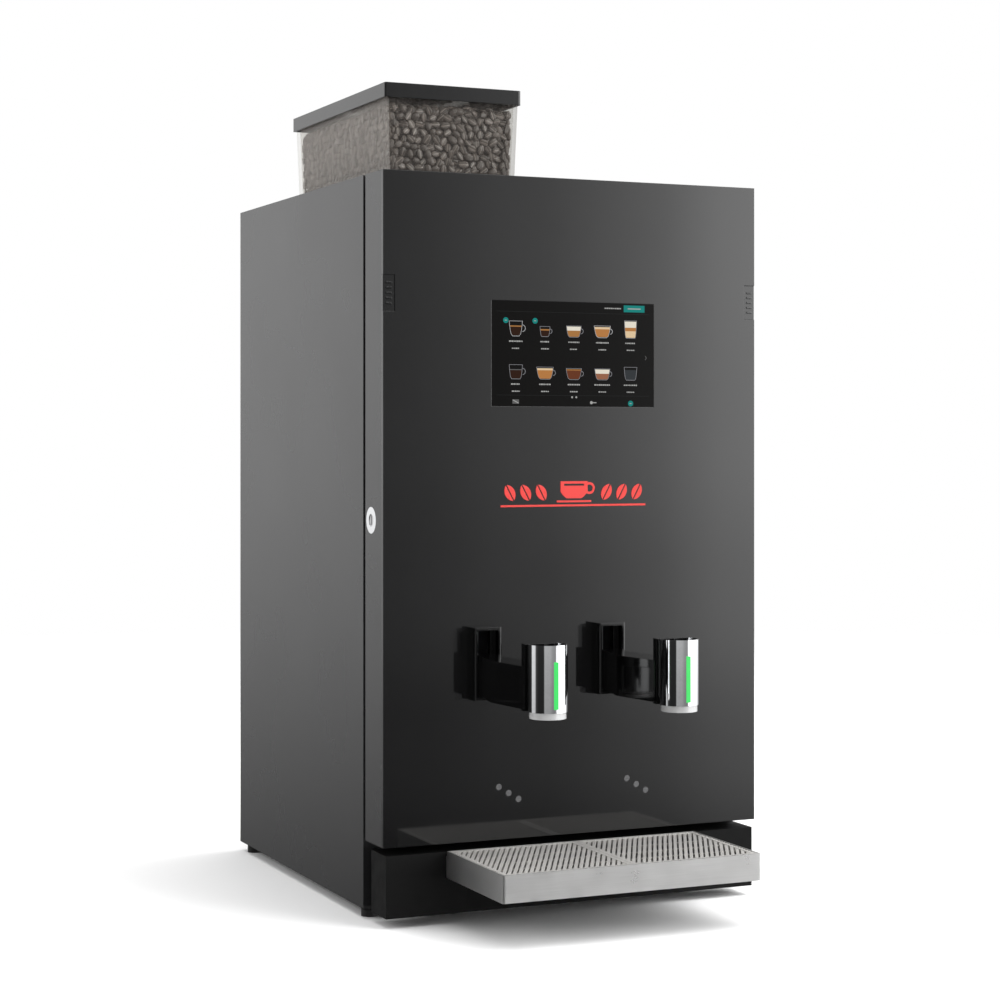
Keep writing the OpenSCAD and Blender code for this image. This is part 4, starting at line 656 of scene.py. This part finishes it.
def drink_menu():
    """Ten drinks in two rows, a heading and a foot line, as the display shows them when idle."""
    rng = random.Random(5)
    low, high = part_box("touch_screen")
    left, right = low.x + SCREEN_RIM, high.x - SCREEN_RIM
    top = high.z - SCREEN_RIM
    wide = (right - left) / MM
    menu = Menu(left, top, low.y - 0.1 * MM)
    for row, mid in enumerate(ROWS):
        for column, (rim_w, foot_w, height, layers, glass) in enumerate(DRINKS[row]):
            u = COLUMN_1 + column * COLUMN_PITCH
            foot = mid + FOOT_DOWN
            menu.cup(u, foot - height / 2, rim_w, foot_w, height, layers, glass, column != PLAIN_COLUMN)
            dashes(menu, u, mid + LABEL_DOWN, rng.uniform(9, 18), 1.5, WHITE, rng)
            dashes(menu, u, mid + PRICE_DOWN, 8.5, 1.3, WHITE, rng)
    for u in (COLUMN_1, COLUMN_1 + COLUMN_PITCH):
        menu.disc(u - MARK_ASIDE, ROWS[0] - MARK_UP, MARK_R, TEAL, 1)
        menu.bar(u - MARK_ASIDE, ROWS[0] - MARK_UP, 2.2, 0.7, WHITE, 3)
    u, v, width, height = BUTTON
    menu.bar(u, v, width, height, TEAL, 1)
    menu.bar(u, v, width * 0.62, 1.1, WHITE, 3)
    dashes(menu, u - width / 2 - 12, v, 19.0, 1.3, WHITE, rng)
    for v in (HEAD_LINE, FOOT_LINE):
        menu.bar(wide / 2, v, wide * 0.94, 0.35, RULE)
    menu.stroke([(169.4, 52.4), (171.0, 54.4), (169.4, 56.4)], 0.6, GREY, 1)
    for u in (87.6, 92.2):
        menu.disc(u, 94.6, 1.0, WHITE, 1)
    menu.bar(26.0, 99.3, 7.0, 4.2, GREY, 1)
    menu.stroke([(23.0, 97.8), (29.0, 100.8)], 0.8, WHITE, 2)
    menu.disc(109.0, 99.9, 1.6, WHITE, 1)
    menu.bar(112.4, 99.9, 4.4, 0.9, WHITE, 1)
    menu.disc(153.0, 100.5, 2.9, TEAL, 1)
    menu.bar(153.0, 100.5, 2.4, 0.7, WHITE, 3)
    piece = mesh_piece("drink_menu", menu.points, menu.faces, menu_print(), "door")
    tints = piece.data.attributes.new("tint", "FLOAT_COLOR", "CORNER")
    colours = []
    for polygon, tint in zip(piece.data.polygons, menu.tints):
        colours += [*tint, 1.0] * polygon.loop_total
    tints.data.foreach_set("color", colours)


# ---------- studio ----------

WHITE_ROOM = 1.0
BRIGHTEST = 5.0                                  # the top of the scale that ROUND is stored on

# Brightness of the studio round the machine, by direction: degrees from the front, + to its right
ROUND = [(-180, 0.95), (-166, 1.02), (-157, 1.26), (-125, 1.3), (-106, 1.3), (-100, 0.7), (-95, 0.08),
         (-76, 0.04), (-48, 0.04), (-42, 0.72), (-15, 0.70), (8, 0.50), (15, 0.45), (21, 0.52),
         (25.5, 1.15), (28, 2.2), (30.3, 3.8), (34, 4.2), (50, 4.6), (100, 3.0), (115, 1.0),
         (180, 0.95)]
# Share of that brightness by elevation in degrees
UP = [(-90, 0.02), (-30, 0.03), (-14, 0.07), (-11, 0.16), (-8, 0.40), (-4, 0.69), (0, 0.90), (6, 1.0),
      (60, 0.9), (90, 0.9)]


def curve_of(tree, value, stops, low, high, top):
    """A colour ramp as a curve: value runs from low to high, and the stops' values from 0 to top."""
    share = tree.spread(value, 0.0, 1.0, low, high)
    ramp = tree.add("ValToRGB", {"Fac": share})
    marks = ramp.color_ramp.elements
    while len(marks) > 1:
        marks.remove(marks[-1])
    for number, (at, level) in enumerate(stops):
        mark = marks[0] if number == 0 else marks.new((at - low) / (high - low))
        mark.position = (at - low) / (high - low)
        mark.color = (level / top,) * 3 + (1,)
    ramp.color_ramp.interpolation = "EASE"
    return tree.math("MULTIPLY", ramp.outputs["Color"], top)


def studio():
    """A white room for the camera, and soft boxes and dark screens for what the machine mirrors."""
    world = bpy.data.worlds.new("studio")
    bpy.context.scene.world = world
    t = Tree(world)
    way = t.add("SeparateXYZ", {0: t.add("TexCoord").outputs["Generated"]})
    back = t.math("MULTIPLY", way.outputs["Y"], -1.0)
    turn = t.math("ARCTAN2", way.outputs["X"], back)
    rise = t.math("ARCSINE", way.outputs["Z"])
    turn = t.math("MULTIPLY", turn, 180 / math.pi)
    rise = t.math("MULTIPLY", rise, 180 / math.pi)
    around = curve_of(t, turn, ROUND, -180, 180, BRIGHTEST)
    upward = curve_of(t, rise, UP, -90, 90, 1.0)
    level = t.math("MULTIPLY", around, upward)
    seen = t.add("LightPath").outputs["Is Camera Ray"]
    strength = t.add("Mix", data_type="FLOAT")
    t.put(strength.inputs[0], seen)
    t.put(strength.inputs[2], level)
    t.put(strength.inputs[3], WHITE_ROOM)
    shader = t.add("Background", {"Color": (1, 1, 1), "Strength": strength.outputs[0]}).outputs[0]
    t.add("OutputWorld", {"Surface": shader})


def area_light(name, at, aim, size, watts):
    light = bpy.data.lights.new(name, "AREA")
    light.shape = "RECTANGLE"
    light.size, light.size_y = size
    light.energy = watts
    lamp = bpy.data.objects.new(name, light)
    bpy.context.scene.collection.objects.link(lamp)
    lamp.location = at
    lamp.visible_glossy = False
    lamp.rotation_euler = (Vector(aim) - Vector(at)).to_track_quat("-Z", "Y").to_euler()


def floor():
    """A pale round floor that fades into the white room."""
    radius, rings, sides = 6.0, 12, 48
    fade = (0.9, 3.2)
    points, faces = [(0.0, 0.0, 0.0)], []
    for ring in range(1, rings + 1):
        for side in range(sides):
            turn = 2 * math.pi * side / sides
            r = radius * ring / rings
            points.append((r * math.cos(turn), r * math.sin(turn), 0.0))
    for side in range(sides):
        faces.append((0, 1 + side, 1 + (side + 1) % sides))
    for ring in range(rings - 1):
        for side in range(sides):
            a, b = 1 + ring * sides + side, 1 + ring * sides + (side + 1) % sides
            faces.append((a, a + sides, b + sides, b))
    mesh = bpy.data.meshes.new("floor")
    mesh.from_pydata(points, [], faces)
    made, t = material("floor")
    spot = t.add("TexCoord").outputs["Object"]
    far = t.add("VectorMath", {0: spot}, operation="LENGTH").outputs["Value"]
    tone = t.blend(t.noise(3, 3), (0.90, 0.90, 0.90), (0.93, 0.93, 0.93))
    paint = t.add("BsdfDiffuse", {"Color": tone}).outputs[0]
    gone = t.add("BsdfTransparent").outputs[0]
    t.output(t.add("MixShader", {0: t.spread(far, 0.0, 1.0, *fade), 1: paint, 2: gone}).outputs[0])
    mesh.materials.append(made)
    ground = bpy.data.objects.new("floor", mesh)
    bpy.context.scene.collection.objects.link(ground)
    ground.visible_glossy = False


def camera():
    """The photograph's view: level, from the front left, with the machine upright."""
    lens = bpy.data.cameras.new("camera")
    lens.lens, lens.sensor_width = 80.08, 36.0
    lens.shift_y = -0.062
    view = bpy.data.objects.new("camera", lens)
    bpy.context.scene.collection.objects.link(view)
    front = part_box("door_glass")[0].y
    view.location = (-0.9679, front - 1.9944, 0.472)
    view.rotation_euler = (math.radians(90), 0, math.radians(-23.94))
    bpy.context.scene.camera = view


camera()
studio()
floor()
area_light("overhead", (0.1, -0.1, 2.4), (0, 0, 0), (2.4, 2.4), 42)
area_light("front_fill", (1.2, -2.6, 1.3), (0, -0.2, 0.3), (0.8, 1.6), 14)
area_light("left_fill", (-2.4, 0.5, 1.2), (0, 0, 0.6), (1.4, 1.4), 20)
dress_nodes()
bean_heap()
drink_menu()
bpy.context.scene.view_settings.view_transform = "Standard"
